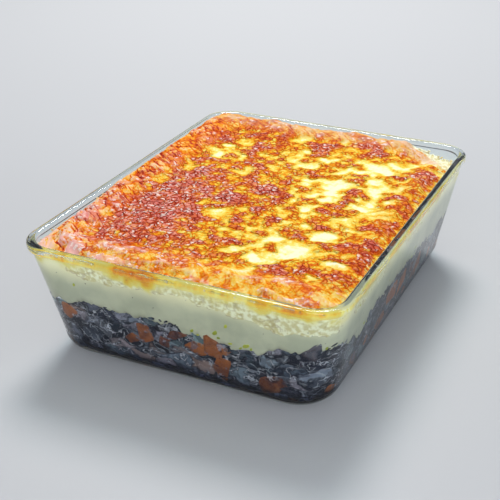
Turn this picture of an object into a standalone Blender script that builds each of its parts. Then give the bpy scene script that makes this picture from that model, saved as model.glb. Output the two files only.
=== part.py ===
"""A shepherd's pie in the clear glass dish it was baked in.

Three pieces nest in each other: the glass dish, the layer of meat and vegetables on its floor, and the layer of
mashed potato with its browned, fork-marked top. The origin is on the surface the dish stands on, under the middle of
the dish. X runs across the dish, Y runs along it from the front to the back, and Z is up. All sizes are in metres.
"""

import math
import random

import bmesh
import bpy
import numpy as np
from mathutils import Vector
from mathutils.geometry import delaunay_2d_cdt

# The dish, outside
DISH_WIDTH = 0.200
DISH_LENGTH = 0.262
DISH_HEIGHT = 0.073
RIM_CORNER_RADIUS = 0.0200
BASE_CORNER_RADIUS = 0.0262
WALL_LEAN = 0.0122  # how far each wall leans in from the rim's level to the base's
BASE_EDGE_RADIUS = 0.0105

# The rim, a flat band proud of the wall, with a rounded lip
RIM_BAND_HEIGHT = 0.0042
RIM_BAND_PROUD = 0.0007
RIM_BAND_CHAMFER = 0.0005
LIP_RADIUS = 0.0017

# The dish, inside
WALL_THICKNESS = 0.0044
BASE_THICKNESS = 0.0052
FLOOR_EDGE_RADIUS = 0.0075

# The food
CONTACT_GAP = 0.0003  # between pieces that touch
LAYER_LEVEL = 0.0370  # mean height of the seam between the filling and the mash
CRUST_DROP = 0.0040  # how far the crust lies below the rim where it meets the wall
CRUST_LIMIT = 0.0010  # how far the crust's high places may stand above the rim
LIMIT_SOFTNESS = 0.0008
ROLL_RISE = 0.0034  # the raised border, pressed with a fork
ROLL_INSET = 0.0120
ROLL_HALF_WIDTH = 0.0085
LEFT_EDGE_RISE = 0.0030  # the crust's edge stands higher along the left wall, towards the back
LEFT_EDGE_WIDTH = 0.0080
LEFT_EDGE_START = -0.0650
FURROW_DEPTH = 0.0012  # the shallow furrow inside the border
FURROW_INSET = 0.0270
FURROW_HALF_WIDTH = 0.0050
BORDER_WANDER = 0.0060  # how far the border's inner edge wanders
MIDDLE_RISE = 0.0032  # the middle of the crust above its edge
MIDDLE_INSET = 0.0380
RIDGE_SPACING = 0.0092
STROKE_HEADING = -42.0  # degrees from the X axis to the way the fork was drawn across the crust
RIDGE_HEIGHT = 0.0017
RIDGE_HALF_WIDTH = 0.0023
RIDGE_HALF_LENGTH = 0.0105
BLISTER_COUNT = 120
BLISTER_HEIGHT = 0.0009
BLISTER_RADIUS = 0.0062

# Fineness of the facets
CORNER_STEPS = 8
EDGE_ROUND_STEPS = 5
LIP_STEPS = 3
OUTLINE_STEP = 0.0068
CRUST_STEP = 0.0051
SEAM_STEP = 0.0120

# Swells and hollows, each as (x, y, height, radius)
CRUST_SWELLS = [
    (0.084, 0.115, -0.0085, 0.0230),  # the sunken corner
    (0.040, 0.110, 0.0020, 0.0120),
    (0.010, 0.112, 0.0016, 0.0130),
    (-0.030, 0.112, 0.0022, 0.0160),
    (-0.075, 0.108, 0.0018, 0.0180),
    (-0.050, 0.124, 0.0034, 0.0090),
    (0.020, 0.124, 0.0034, 0.0085),
    (0.051, 0.124, 0.0030, 0.0065),
    (-0.086, 0.060, 0.0018, 0.0220),
    (-0.092, -0.112, -0.0012, 0.0180),
    (-0.050, -0.020, 0.0010, 0.0300),
    (0.020, 0.030, -0.0012, 0.0260),
    (0.055, -0.060, 0.0008, 0.0220),
    (-0.020, -0.090, 0.0007, 0.0200),
]
SEAM_SWELLS = [
    (-0.057, -0.118, 0.0030, 0.0110),
    (-0.030, -0.118, 0.0022, 0.0130),
    (-0.006, -0.118, 0.0028, 0.0110),
    (0.022, -0.118, -0.0030, 0.0130),
    (0.044, -0.118, -0.0052, 0.0110),
    (0.063, -0.118, 0.0024, 0.0080),
    (0.084, -0.116, 0.0088, 0.0160),
    (0.088, -0.073, -0.0080, 0.0110),
    (0.088, -0.048, 0.0018, 0.0140),
    (0.088, 0.030, -0.0016, 0.0200),
    (0.086, 0.070, -0.0082, 0.0160),
    (0.083, 0.104, -0.0050, 0.0160),
    (0.030, 0.120, 0.0030, 0.0200),
    (-0.020, 0.120, -0.0040, 0.0180),
    (-0.066, 0.116, 0.0034, 0.0160),
    (-0.086, 0.060, -0.0042, 0.0180),
    (-0.088, 0.010, 0.0036, 0.0180),
    (-0.088, -0.050, -0.0034, 0.0180),
    (0.010, 0.010, 0.0030, 0.0400),
]


def clear_scene():
    for thing in list(bpy.data.objects):
        bpy.data.objects.remove(thing, do_unlink=True)


def make_material(name, colour, roughness, transmission=0.0):
    material = bpy.data.materials.new(name)
    material.use_nodes = True
    shader = material.node_tree.nodes["Principled BSDF"]
    shader.inputs["Base Color"].default_value = (*colour, 1.0)
    shader.inputs["Roughness"].default_value = roughness
    shader.inputs["Metallic"].default_value = 0.0
    shader.inputs["Transmission Weight"].default_value = transmission
    return material


# Plan shapes: each level of the dish is a rounded rectangle, set in from the rim's outline


def outer_lean(z):
    """How far the outside of the wall is set in from the rim's outline at a height."""
    return RIM_BAND_PROUD + WALL_LEAN * (1.0 - z / DISH_HEIGHT)


def outer_corner(z):
    """The wall's corner radius in plan at a height."""
    share = z / DISH_HEIGHT
    return BASE_CORNER_RADIUS + (RIM_CORNER_RADIUS - BASE_CORNER_RADIUS) * share


def side_steps(straight):
    return max(1, round(straight / OUTLINE_STEP))


def outline(inset, corner, along_sides):
    """Points of a rounded rectangle, anticlockwise from above, as an array of x and y."""
    half_x = DISH_WIDTH / 2 - inset
    half_y = DISH_LENGTH / 2 - inset
    straight_x = 2 * (DISH_WIDTH / 2 - RIM_CORNER_RADIUS)
    straight_y = 2 * (DISH_LENGTH / 2 - RIM_CORNER_RADIUS)
    corners = [(1, 1, 0.0), (-1, 1, 90.0), (-1, -1, 180.0), (1, -1, 270.0)]
    steps_after = [side_steps(straight_x), side_steps(straight_y)] * 2
    points = []
    arcs = []
    for sign_x, sign_y, first_angle in corners:
        centre_x = sign_x * (half_x - corner)
        centre_y = sign_y * (half_y - corner)
        arc = []
        for step in range(CORNER_STEPS + 1):
            angle = math.radians(first_angle + 90.0 * step / CORNER_STEPS)
            arc.append((centre_x + corner * math.cos(angle), centre_y + corner * math.sin(angle)))
        arcs.append(arc)
    for index, arc in enumerate(arcs):
        points.extend(arc)
        if along_sides:
            start = np.array(arc[-1])
            end = np.array(arcs[(index + 1) % 4][0])
            steps = steps_after[index]
            points.extend(tuple(start + (end - start) * k / steps) for k in range(1, steps))
    return np.array(points)


# Heights of the two food surfaces


def inside_distance(x, y):
    """Distance in from the inner wall at the crust's level."""
    z = DISH_HEIGHT - CRUST_DROP
    inset = outer_lean(z) + WALL_THICKNESS
    corner = outer_corner(z) - WALL_THICKNESS
    over_x = np.abs(x) - (DISH_WIDTH / 2 - inset - corner)
    over_y = np.abs(y) - (DISH_LENGTH / 2 - inset - corner)
    outside = np.hypot(np.maximum(over_x, 0), np.maximum(over_y, 0))
    inside = np.minimum(np.maximum(over_x, over_y), 0)
    return corner - outside - inside


def hump(distance, centre, half_width):
    return np.exp(-(((distance - centre) / half_width) ** 2))


def smooth_step(value):
    share = np.clip(value, 0.0, 1.0)
    return share * share * (3.0 - 2.0 * share)


def swells(x, y, humps):
    total = np.zeros_like(x)
    for centre_x, centre_y, height, radius in humps:
        total += height * np.exp(-((x - centre_x) ** 2 + (y - centre_y) ** 2) / radius**2)
    return total


def border_marks():
    """Where the fork's strokes cross the border: (x, y, stroke x, stroke y, height) for each."""
    chance = random.Random(11)
    inset = outer_lean(DISH_HEIGHT) + WALL_THICKNESS + ROLL_INSET
    corner = RIM_CORNER_RADIUS
    half_x = DISH_WIDTH / 2 - inset
    half_y = DISH_LENGTH / 2 - inset
    side_x = 2 * (half_x - corner)
    side_y = 2 * (half_y - corner)
    arc = corner * math.pi / 2
    runs = [(1, 1, arc, 0.0), (0, 1, side_x, 90.0), (-1, 1, arc, 90.0), (-1, 0, side_y, 180.0)]
    runs += [(-1, -1, arc, 180.0), (0, -1, side_x, 270.0), (1, -1, arc, 270.0), (1, 0, side_y, 0.0)]
    marks = []
    for sign_x, sign_y, length, first_angle in runs:
        count = max(1, round(length / RIDGE_SPACING))
        for k in range(count):
            share = (k + 0.5 + chance.uniform(-0.2, 0.2)) / count
            turning = sign_x != 0 and sign_y != 0
            angle = math.radians(first_angle + (90.0 * share if turning else 0.0))
            out = (math.cos(angle), math.sin(angle))
            x = sign_x * (half_x - corner) + corner * out[0]
            y = sign_y * (half_y - corner) + corner * out[1]
            if not turning:
                x += -out[1] * length * (share - 0.5)
                y += out[0] * length * (share - 0.5)
            stroke = math.radians(STROKE_HEADING * chance.uniform(0.75, 1.25))
            height = RIDGE_HEIGHT * chance.uniform(0.5, 1.4)
            marks.append((x, y, math.cos(stroke), math.sin(stroke), height))
    return marks


def blisters():
    """Round blisters over the middle of the crust: (x, y, height, radius) for each."""
    chance = random.Random(23)
    half_x = DISH_WIDTH / 2 - MIDDLE_INSET
    half_y = DISH_LENGTH / 2 - MIDDLE_INSET
    found = []
    for _ in range(BLISTER_COUNT):
        x = chance.uniform(-half_x, half_x)
        y = chance.uniform(-half_y, half_y)
        height = BLISTER_HEIGHT * chance.uniform(-0.8, 1.2)
        found.append((x, y, height, BLISTER_RADIUS * chance.uniform(0.7, 1.3)))
    return found


MARKS = border_marks()
BLISTERS = blisters()


def crust_height(x, y):
    """The top of the mash: a forked border roll, a furrow inside it, and a blistered middle."""
    distance = inside_distance(x, y)
    wander = BORDER_WANDER * np.sin(x * 61.0 + y * 23.0 + 0.8) * np.cos(y * 47.0 - x * 19.0)
    inner_distance = distance + wander * smooth_step(distance / FURROW_INSET)
    furrow_share = np.maximum(smooth_step((0.02 - x) / 0.10), smooth_step((y - 0.04) / 0.08))
    height = np.full_like(x, DISH_HEIGHT - CRUST_DROP)
    height += ROLL_RISE * hump(distance, ROLL_INSET, ROLL_HALF_WIDTH)
    left_share = smooth_step((-x - 0.06) / 0.03) * smooth_step((y - LEFT_EDGE_START) / 0.05)
    height += LEFT_EDGE_RISE * left_share * hump(distance, 0.0, LEFT_EDGE_WIDTH)
    height -= FURROW_DEPTH * furrow_share * hump(inner_distance, FURROW_INSET, FURROW_HALF_WIDTH)
    height += MIDDLE_RISE * smooth_step(inner_distance / MIDDLE_INSET)
    height += swells(x, y, CRUST_SWELLS)
    height += swells(x, y, BLISTERS)
    for mark_x, mark_y, stroke_x, stroke_y, rise in MARKS:
        along = (x - mark_x) * stroke_x + (y - mark_y) * stroke_y
        across = (x - mark_x) * stroke_y - (y - mark_y) * stroke_x
        ridge = hump(across, 0.0, RIDGE_HALF_WIDTH) * hump(along, 0.0, RIDGE_HALF_LENGTH)
        height += rise * ridge
    limit = DISH_HEIGHT + CRUST_LIMIT
    return limit - LIMIT_SOFTNESS * np.log1p(np.exp((limit - height) / LIMIT_SOFTNESS))


def seam_height(x, y):
    """The uneven seam between the filling and the mash."""
    wave = 0.0012 * np.sin(x * 170.0 + 0.6) * np.cos(y * 140.0)
    ripple = 0.0007 * np.sin(x * 410.0 - y * 330.0)
    return LAYER_LEVEL + wave + ripple + swells(x, y, SEAM_SWELLS)


# Solids


def add_piece(name, mesh_builder, material):
    mesh = bpy.data.meshes.new(name)
    mesh_builder.to_mesh(mesh)
    mesh_builder.free()
    mesh.materials.append(material)
    mesh.shade_smooth()
    mesh.set_sharp_from_angle(angle=math.radians(40))
    piece = bpy.data.objects.new(name, mesh)
    bpy.context.scene.collection.objects.link(piece)
    return piece


def add_loop(builder, points, heights):
    """One ring of vertices: points holds x and y, heights a z for each or one for all."""
    levels = np.broadcast_to(heights, len(points))
    return [builder.verts.new((x, y, z)) for (x, y), z in zip(points, levels)]


def bridge(builder, low, high):
    """A band of faces between two rings, facing out where the second ring is above."""
    count = len(low)
    for k in range(count):
        after = (k + 1) % count
        builder.faces.new((low[k], low[after], high[after], high[k]))


def build_dish(material):
    builder = bmesh.new()
    levels = []

    # Outside, from the base up: the rounded edge, the leaning wall, the band and the lip
    lean = outer_lean(BASE_EDGE_RADIUS)
    corner = outer_corner(BASE_EDGE_RADIUS)
    for step in range(EDGE_ROUND_STEPS + 1):
        angle = math.radians(90.0 * (1.0 - step / EDGE_ROUND_STEPS))
        tuck = BASE_EDGE_RADIUS * (1.0 - math.cos(angle))
        levels.append((lean + tuck, corner - tuck, BASE_EDGE_RADIUS * (1.0 - math.sin(angle))))
    band_foot = DISH_HEIGHT - RIM_BAND_HEIGHT
    under_band = band_foot - RIM_BAND_CHAMFER
    levels.append((outer_lean(under_band), outer_corner(under_band), under_band))
    levels.append((0.0, RIM_CORNER_RADIUS, band_foot))
    lip_foot = DISH_HEIGHT - LIP_RADIUS
    for step in range(LIP_STEPS + 1):
        angle = math.radians(90.0 * step / LIP_STEPS)
        tuck = LIP_RADIUS * (1.0 - math.cos(angle))
        levels.append((tuck, RIM_CORNER_RADIUS - tuck, lip_foot + LIP_RADIUS * math.sin(angle)))

    # Inside, from the lip down: the lip, the leaning wall and the rounded edge of the floor
    inner_lip = outer_lean(lip_foot) + WALL_THICKNESS
    inner_corner = outer_corner(lip_foot) - WALL_THICKNESS
    for step in range(LIP_STEPS + 1):
        angle = math.radians(90.0 * (1.0 - step / LIP_STEPS))
        tuck = LIP_RADIUS * (1.0 - math.cos(angle))
        height = lip_foot + LIP_RADIUS * math.sin(angle)
        levels.append((inner_lip - tuck, inner_corner + tuck, height))
    levels.extend(cavity_levels(0.0))

    rings = [add_loop(builder, outline(inset, radius, False), z) for inset, radius, z in levels]
    for low, high in zip(rings, rings[1:]):
        bridge(builder, low, high)
    builder.faces.new(list(reversed(rings[0])))
    builder.faces.new(rings[-1])
    return add_piece("dish", builder, material)


def cavity_levels(gap):
    """Levels of the cavity's rounded floor edge, top to bottom, drawn in by a gap."""
    top = BASE_THICKNESS + FLOOR_EDGE_RADIUS
    inset = outer_lean(top) + WALL_THICKNESS
    corner = outer_corner(top) - WALL_THICKNESS
    radius = FLOOR_EDGE_RADIUS - gap
    levels = []
    for step in range(EDGE_ROUND_STEPS + 1):
        angle = math.radians(90.0 * step / EDGE_ROUND_STEPS)
        tuck = gap + radius * (1.0 - math.cos(angle))
        levels.append((inset + tuck, corner - tuck, top - radius * math.sin(angle)))
    return levels


def wall_ring(height_at, first_height):
    """A ring against the inner wall that follows a height function: its x and y, and its z."""
    z = np.full(len(outline(0.0, RIM_CORNER_RADIUS, True)), first_height)
    for _ in range(3):
        low = outline(*cavity_plan(0.0), True)
        high = outline(*cavity_plan(DISH_HEIGHT), True)
        share = (z / DISH_HEIGHT)[:, None]
        points = low + (high - low) * share
        z = height_at(points[:, 0], points[:, 1])
    return points, z


def cavity_plan(z):
    """Inset and corner radius of food that fills the leaning wall at a height."""
    inset = outer_lean(z) + WALL_THICKNESS + CONTACT_GAP
    return inset, outer_corner(z) - WALL_THICKNESS - CONTACT_GAP


def grid_inside(border, spacing):
    """Points of a staggered grid inside a convex outline, clear of its edge."""
    low = border.min(axis=0)
    high = border.max(axis=0)
    rows = int((high[1] - low[1]) / (spacing * 0.87))
    edges = np.roll(border, -1, axis=0) - border
    normals = np.stack([-edges[:, 1], edges[:, 0]], axis=1)
    normals /= np.linalg.norm(normals, axis=1)[:, None]
    kept = []
    for row in range(1, rows):
        y = low[1] + (high[1] - low[1]) * row / rows
        shift = 0.5 * spacing if row % 2 else 0.0
        for x in np.arange(low[0] + shift, high[0], spacing):
            clearance = (((x, y) - border) * normals).sum(axis=1).min()
            if clearance > spacing * 0.55:
                kept.append((x, y))
    return kept


def surface_plan(border, spacing):
    """A triangulated net inside an outline: its x and y points, the outline's first, and its faces."""
    points = [Vector(p) for p in border] + [Vector(p) for p in grid_inside(border, spacing)]
    result = delaunay_2d_cdt(points, [], [list(range(len(border)))], 1, 1e-7)
    flat, faces, sources = result[0], result[2], result[3]
    places = np.zeros((len(points), 2))
    order = [source[0] for source in sources]
    for place, source in zip(flat, order):
        places[source] = tuple(place)
    return places, [[order[k] for k in face] for face in faces]


def cover(builder, ring, plan, heights, facing_up):
    """Closes a ring with a net, whose first points are the ring's own."""
    places, faces = plan
    verts = list(ring)
    for (x, y), z in zip(places[len(ring) :], heights[len(ring) :]):
        verts.append(builder.verts.new((x, y, z)))
    for face in faces:
        corners = [verts[k] for k in face]
        builder.faces.new(corners if facing_up else list(reversed(corners)))


def build_filling(material, seam_border, seam_plan, seam_heights):
    builder = bmesh.new()
    levels = list(reversed(cavity_levels(CONTACT_GAP)))
    rings = [add_loop(builder, outline(inset, radius, True), z) for inset, radius, z in levels]
    rings.append(add_loop(builder, seam_border, seam_heights[: len(seam_border)]))
    for low, high in zip(rings, rings[1:]):
        bridge(builder, low, high)
    builder.faces.new(list(reversed(rings[0])))
    cover(builder, rings[-1], seam_plan, seam_heights, True)
    return add_piece("filling", builder, material)


def build_mash(material, seam_border, seam_plan, seam_heights):
    builder = bmesh.new()
    underside = seam_heights + CONTACT_GAP
    border, border_heights = wall_ring(crust_height, DISH_HEIGHT - CRUST_DROP)
    low_ring = add_loop(builder, seam_border, underside[: len(seam_border)])
    high_ring = add_loop(builder, border, border_heights)
    bridge(builder, low_ring, high_ring)
    cover(builder, low_ring, seam_plan, underside, False)
    plan = surface_plan(border, CRUST_STEP)
    heights = crust_height(plan[0][:, 0], plan[0][:, 1])
    cover(builder, high_ring, plan, heights, True)
    return add_piece("mash", builder, material)


def main():
    clear_scene()
    glass = make_material("glass", (0.86, 0.92, 0.94), 0.04, transmission=1.0)
    filling = make_material("filling", (0.19, 0.15, 0.14), 0.45)
    mash = make_material("mash", (0.80, 0.50, 0.18), 0.50)
    seam_border, _ = wall_ring(seam_height, LAYER_LEVEL)
    seam_plan = surface_plan(seam_border, SEAM_STEP)
    seam_heights = seam_height(seam_plan[0][:, 0], seam_plan[0][:, 1])
    build_dish(glass)
    build_filling(filling, seam_border, seam_plan, seam_heights)
    build_mash(mash, seam_border, seam_plan, seam_heights)


main()
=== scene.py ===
"""Looks of a shepherd's pie in the clear glass dish it was baked in.

The dish, the filling and the mash each get a detailed piece that stands for the plain solid. Vegetables,
mince, herbs and crumbs are made one by one and pressed against the inside of the glass. Lengths are in
metres, except in the lists of places on the food, which are in millimetres.
"""

import math
import random

import bpy
import numpy as np
from mathutils import Euler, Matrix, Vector, noise
from mathutils.geometry import delaunay_2d_cdt


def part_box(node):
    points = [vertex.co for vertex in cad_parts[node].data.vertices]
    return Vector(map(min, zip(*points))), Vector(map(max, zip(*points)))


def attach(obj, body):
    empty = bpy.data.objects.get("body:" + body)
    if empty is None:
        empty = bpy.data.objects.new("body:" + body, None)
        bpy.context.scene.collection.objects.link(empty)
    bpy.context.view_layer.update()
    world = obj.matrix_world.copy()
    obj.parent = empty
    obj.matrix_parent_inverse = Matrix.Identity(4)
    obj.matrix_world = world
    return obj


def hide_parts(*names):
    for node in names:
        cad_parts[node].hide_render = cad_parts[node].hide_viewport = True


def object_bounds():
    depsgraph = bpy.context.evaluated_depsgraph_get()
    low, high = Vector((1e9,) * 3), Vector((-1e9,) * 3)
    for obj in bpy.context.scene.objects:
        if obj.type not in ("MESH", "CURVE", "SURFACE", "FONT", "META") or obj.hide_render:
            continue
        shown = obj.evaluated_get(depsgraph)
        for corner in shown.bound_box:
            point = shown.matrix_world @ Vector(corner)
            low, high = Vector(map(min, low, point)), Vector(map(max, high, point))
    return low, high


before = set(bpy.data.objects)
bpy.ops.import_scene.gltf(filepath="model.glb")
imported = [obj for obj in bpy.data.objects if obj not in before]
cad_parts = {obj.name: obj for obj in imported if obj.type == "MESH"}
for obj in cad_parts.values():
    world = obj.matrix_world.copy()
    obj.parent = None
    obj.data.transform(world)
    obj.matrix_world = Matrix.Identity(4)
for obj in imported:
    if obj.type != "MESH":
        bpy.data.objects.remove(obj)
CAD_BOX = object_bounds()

MM = 0.001

# ---------------------------------------------------------------- the dish and the food's two surfaces

DISH_LOW, DISH_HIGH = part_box("dish")
DISH_WIDTH = DISH_HIGH.x - DISH_LOW.x
DISH_LENGTH = DISH_HIGH.y - DISH_LOW.y
DISH_HEIGHT = DISH_HIGH.z - DISH_LOW.z
RIM_CORNER_RADIUS = 0.0200
BASE_CORNER_RADIUS = 0.0262
WALL_LEAN = 0.0122
BASE_EDGE_RADIUS = 0.0105
RIM_BAND_HEIGHT = 0.0042
RIM_BAND_PROUD = 0.0007
RIM_BAND_CHAMFER = 0.0005
LIP_RADIUS = 0.0017
WALL_THICKNESS = 0.0044
BASE_THICKNESS = 0.0052
FLOOR_EDGE_RADIUS = 0.0075
LAYER_LEVEL = 0.0370
CRUST_DROP = 0.0040
CRUST_LIMIT = 0.0010
LIMIT_SOFTNESS = 0.0008
ROLL_RISE = 0.0034
ROLL_INSET = 0.0120
ROLL_HALF_WIDTH = 0.0085
LEFT_EDGE_RISE = 0.0030
LEFT_EDGE_WIDTH = 0.0080
LEFT_EDGE_START = -0.0650
FURROW_DEPTH = 0.0012
FURROW_INSET = 0.0270
FURROW_HALF_WIDTH = 0.0050
BORDER_WANDER = 0.0060
MIDDLE_RISE = 0.0032
MIDDLE_INSET = 0.0380
RIDGE_SPACING = 0.0092
STROKE_HEADING = -42.0
RIDGE_HEIGHT = 0.0017
RIDGE_HALF_WIDTH = 0.0023
RIDGE_HALF_LENGTH = 0.0105
# Rises and hollows of the crust and of the seam below it, as x, y, height and radius, in metres
CRUST_SWELLS = [
    (0.084, 0.115, -0.0085, 0.0230), (0.040, 0.110, 0.0020, 0.0120), (0.010, 0.112, 0.0016, 0.0130),
    (-0.030, 0.112, 0.0022, 0.0160), (-0.075, 0.108, 0.0018, 0.0180), (-0.050, 0.124, 0.0034, 0.0090),
    (0.020, 0.124, 0.0034, 0.0085), (0.051, 0.124, 0.0030, 0.0065), (-0.086, 0.060, 0.0018, 0.0220),
    (-0.092, -0.112, -0.0012, 0.0180), (-0.050, -0.020, 0.0010, 0.0300), (0.020, 0.030, -0.0012, 0.0260),
    (0.055, -0.060, 0.0008, 0.0220), (-0.020, -0.090, 0.0007, 0.0200),
]
SEAM_SWELLS = [
    (-0.057, -0.118, 0.0030, 0.0110), (-0.030, -0.118, 0.0022, 0.0130), (-0.006, -0.118, 0.0028, 0.0110),
    (0.022, -0.118, -0.0030, 0.0130), (0.044, -0.118, -0.0052, 0.0110), (0.063, -0.118, 0.0024, 0.0080),
    (0.084, -0.116, 0.0088, 0.0160), (0.088, -0.073, -0.0080, 0.0110), (0.088, -0.048, 0.0018, 0.0140),
    (0.088, 0.030, -0.0016, 0.0200), (0.086, 0.070, -0.0082, 0.0160), (0.083, 0.104, -0.0050, 0.0160),
    (0.030, 0.120, 0.0030, 0.0200), (-0.020, 0.120, -0.0040, 0.0180), (-0.066, 0.116, 0.0034, 0.0160),
    (-0.086, 0.060, -0.0042, 0.0180), (-0.088, 0.010, 0.0036, 0.0180), (-0.088, -0.050, -0.0034, 0.0180),
    (0.010, 0.010, 0.0030, 0.0400),
]


def outer_lean(z):
    """How far the outside of the wall is set in from the rim's outline at a height."""
    return RIM_BAND_PROUD + WALL_LEAN * (1.0 - z / DISH_HEIGHT)


def outer_corner(z):
    """The wall's corner radius in plan at a height."""
    share = z / DISH_HEIGHT
    return BASE_CORNER_RADIUS + (RIM_CORNER_RADIUS - BASE_CORNER_RADIUS) * share


def inner_plan(level, gap=0.0):
    """Inset and corner radius of the cavity at a height, or of food that lies a gap in from its wall."""
    return outer_lean(level) + WALL_THICKNESS + gap, outer_corner(level) - WALL_THICKNESS - gap


def inside_distance(x, y):
    """Distance in from the inner wall at the crust's level."""
    inset, corner = inner_plan(DISH_HEIGHT - CRUST_DROP)
    over_x = np.abs(x) - (DISH_WIDTH / 2 - inset - corner)
    over_y = np.abs(y) - (DISH_LENGTH / 2 - inset - corner)
    outside = np.hypot(np.maximum(over_x, 0), np.maximum(over_y, 0))
    inside = np.minimum(np.maximum(over_x, over_y), 0)
    return corner - outside - inside


def hump(distance, centre, half_width):
    return np.exp(-(((distance - centre) / half_width) ** 2))


def smooth_step(value):
    share = np.clip(value, 0.0, 1.0)
    return share * share * (3.0 - 2.0 * share)


def step_up(value, start, width):
    """0 up to a start, 1 from a width above it, and smooth between."""
    return smooth_step((value - start) / width)


def swells(x, y, humps):
    total = np.zeros_like(x)
    for hump_x, hump_y, height, radius in humps:
        total += height * np.exp(-((x - hump_x) ** 2 + (y - hump_y) ** 2) / radius**2)
    return total


def along_across(x, y, start_x, start_y, way_x, way_y):
    """How far points lie along a line from its start, and how far across it."""
    from_x, from_y = x - start_x, y - start_y
    return from_x * way_x + from_y * way_y, from_x * way_y - from_y * way_x


def border_marks():
    """Where the fork's strokes cross the border: (x, y, stroke x, stroke y, height) for each."""
    chance = random.Random(11)
    inset = outer_lean(DISH_HEIGHT) + WALL_THICKNESS + ROLL_INSET
    corner = RIM_CORNER_RADIUS
    half_x = DISH_WIDTH / 2 - inset
    half_y = DISH_LENGTH / 2 - inset
    side_x = 2 * (half_x - corner)
    side_y = 2 * (half_y - corner)
    arc = corner * math.pi / 2
    runs = [(1, 1, arc, 0.0), (0, 1, side_x, 90.0), (-1, 1, arc, 90.0), (-1, 0, side_y, 180.0)]
    runs += [(-1, -1, arc, 180.0), (0, -1, side_x, 270.0), (1, -1, arc, 270.0), (1, 0, side_y, 0.0)]
    marks = []
    for sign_x, sign_y, length, first_angle in runs:
        turning = sign_x != 0 and sign_y != 0
        count = max(1, round(length / RIDGE_SPACING))
        for k in range(count):
            share = (k + 0.5 + chance.uniform(-0.2, 0.2)) / count
            angle = math.radians(first_angle + (90.0 * share if turning else 0.0))
            out_x, out_y = math.cos(angle), math.sin(angle)
            x = sign_x * (half_x - corner) + corner * out_x
            y = sign_y * (half_y - corner) + corner * out_y
            if not turning:
                x += -out_y * length * (share - 0.5)
                y += out_x * length * (share - 0.5)
            stroke = math.radians(STROKE_HEADING * chance.uniform(0.75, 1.25))
            height = RIDGE_HEIGHT * chance.uniform(0.5, 1.4)
            marks.append((x, y, math.cos(stroke), math.sin(stroke), height))
    return marks


MARKS = border_marks()


def crust_base(x, y):
    """The top of the mash without its finer relief: a forked border roll, a furrow and the middle."""
    distance = inside_distance(x, y)
    wander = BORDER_WANDER * np.sin(x * 61.0 + y * 23.0 + 0.8) * np.cos(y * 47.0 - x * 19.0)
    inner_distance = distance + wander * smooth_step(distance / FURROW_INSET)
    furrow_share = np.maximum(step_up(-x, -0.02, 0.10), step_up(y, 0.04, 0.08))
    height = np.full_like(x, DISH_HEIGHT - CRUST_DROP)
    height += ROLL_RISE * hump(distance, ROLL_INSET, ROLL_HALF_WIDTH)
    left_share = step_up(-x, 0.06, 0.03) * step_up(y, LEFT_EDGE_START, 0.05)
    height += LEFT_EDGE_RISE * left_share * hump(distance, 0.0, LEFT_EDGE_WIDTH)
    height -= FURROW_DEPTH * furrow_share * hump(inner_distance, FURROW_INSET, FURROW_HALF_WIDTH)
    height += MIDDLE_RISE * smooth_step(inner_distance / MIDDLE_INSET)
    height += swells(x, y, CRUST_SWELLS)
    for *line, rise in MARKS:
        along, across = along_across(x, y, *line)
        height += rise * (hump(across, 0.0, RIDGE_HALF_WIDTH) * hump(along, 0.0, RIDGE_HALF_LENGTH))
    return height


def limited(height):
    """Keeps the crust's high places close under the limit above the rim."""
    limit = DISH_HEIGHT + CRUST_LIMIT
    return limit - LIMIT_SOFTNESS * np.log1p(np.exp((limit - height) / LIMIT_SOFTNESS))


def seam_height(x, y):
    """The uneven seam between the filling and the mash."""
    wave = 0.0012 * np.sin(x * 170.0 + 0.6) * np.cos(y * 140.0)
    ripple = 0.0007 * np.sin(x * 410.0 - y * 330.0)
    return LAYER_LEVEL + wave + ripple + swells(x, y, SEAM_SWELLS)


def on_seam(plan, above):
    """Points at a height above the seam, from their x and y."""
    return np.column_stack([plan, seam_height(plan[:, 0], plan[:, 1]) + above])


# ---------------------------------------------------------------- repeatable noise

# Waves that scatter the cells' points: one pair of strengths for each number that a cell draws
CELL_WAVES = [(12.9898, 78.233), (39.346, 11.135), (73.156, 52.235)]


def noise_at(x, y, z, size, seed):
    """Smooth noise of about -1 to 1 at each point, with lumps of a size."""
    shift = seed * 17.31
    places = np.stack([x / size + shift, y / size - shift, z / size + 0.37], axis=-1)
    return np.array([noise.noise(place) for place in places.tolist()])


def plan_noise(x, y, size, seed):
    return noise_at(x, y, np.zeros_like(x), size, seed)


def cells_at(x, y, size, seed):
    """For scattered points in plan: how far each place is off the line between two of them, and its lot."""
    place_x, place_y = x / size, y / size
    base_x, base_y = np.floor(place_x), np.floor(place_y)
    near = np.full(len(x), 9.0)
    second = np.full(len(x), 9.0)
    lot = np.zeros(len(x))
    for step_x in range(-2, 3):
        for step_y in range(-2, 3):
            cell_x, cell_y = base_x + step_x, base_y + step_y
            waves = [np.sin(cell_x * a + cell_y * b + seed * 37.7) for a, b in CELL_WAVES]
            lots = [wave * 43758.5453 % 1.0 for wave in waves]
            gap = np.hypot(cell_x + lots[0] - place_x, cell_y + lots[1] - place_y)
            closer = gap < near
            second = np.where(closer, near, np.minimum(second, gap))
            lot = np.where(closer, lots[2], lot)
            near = np.where(closer, gap, near)
    return second - near, lot


# ---------------------------------------------------------------- meshes


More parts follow.
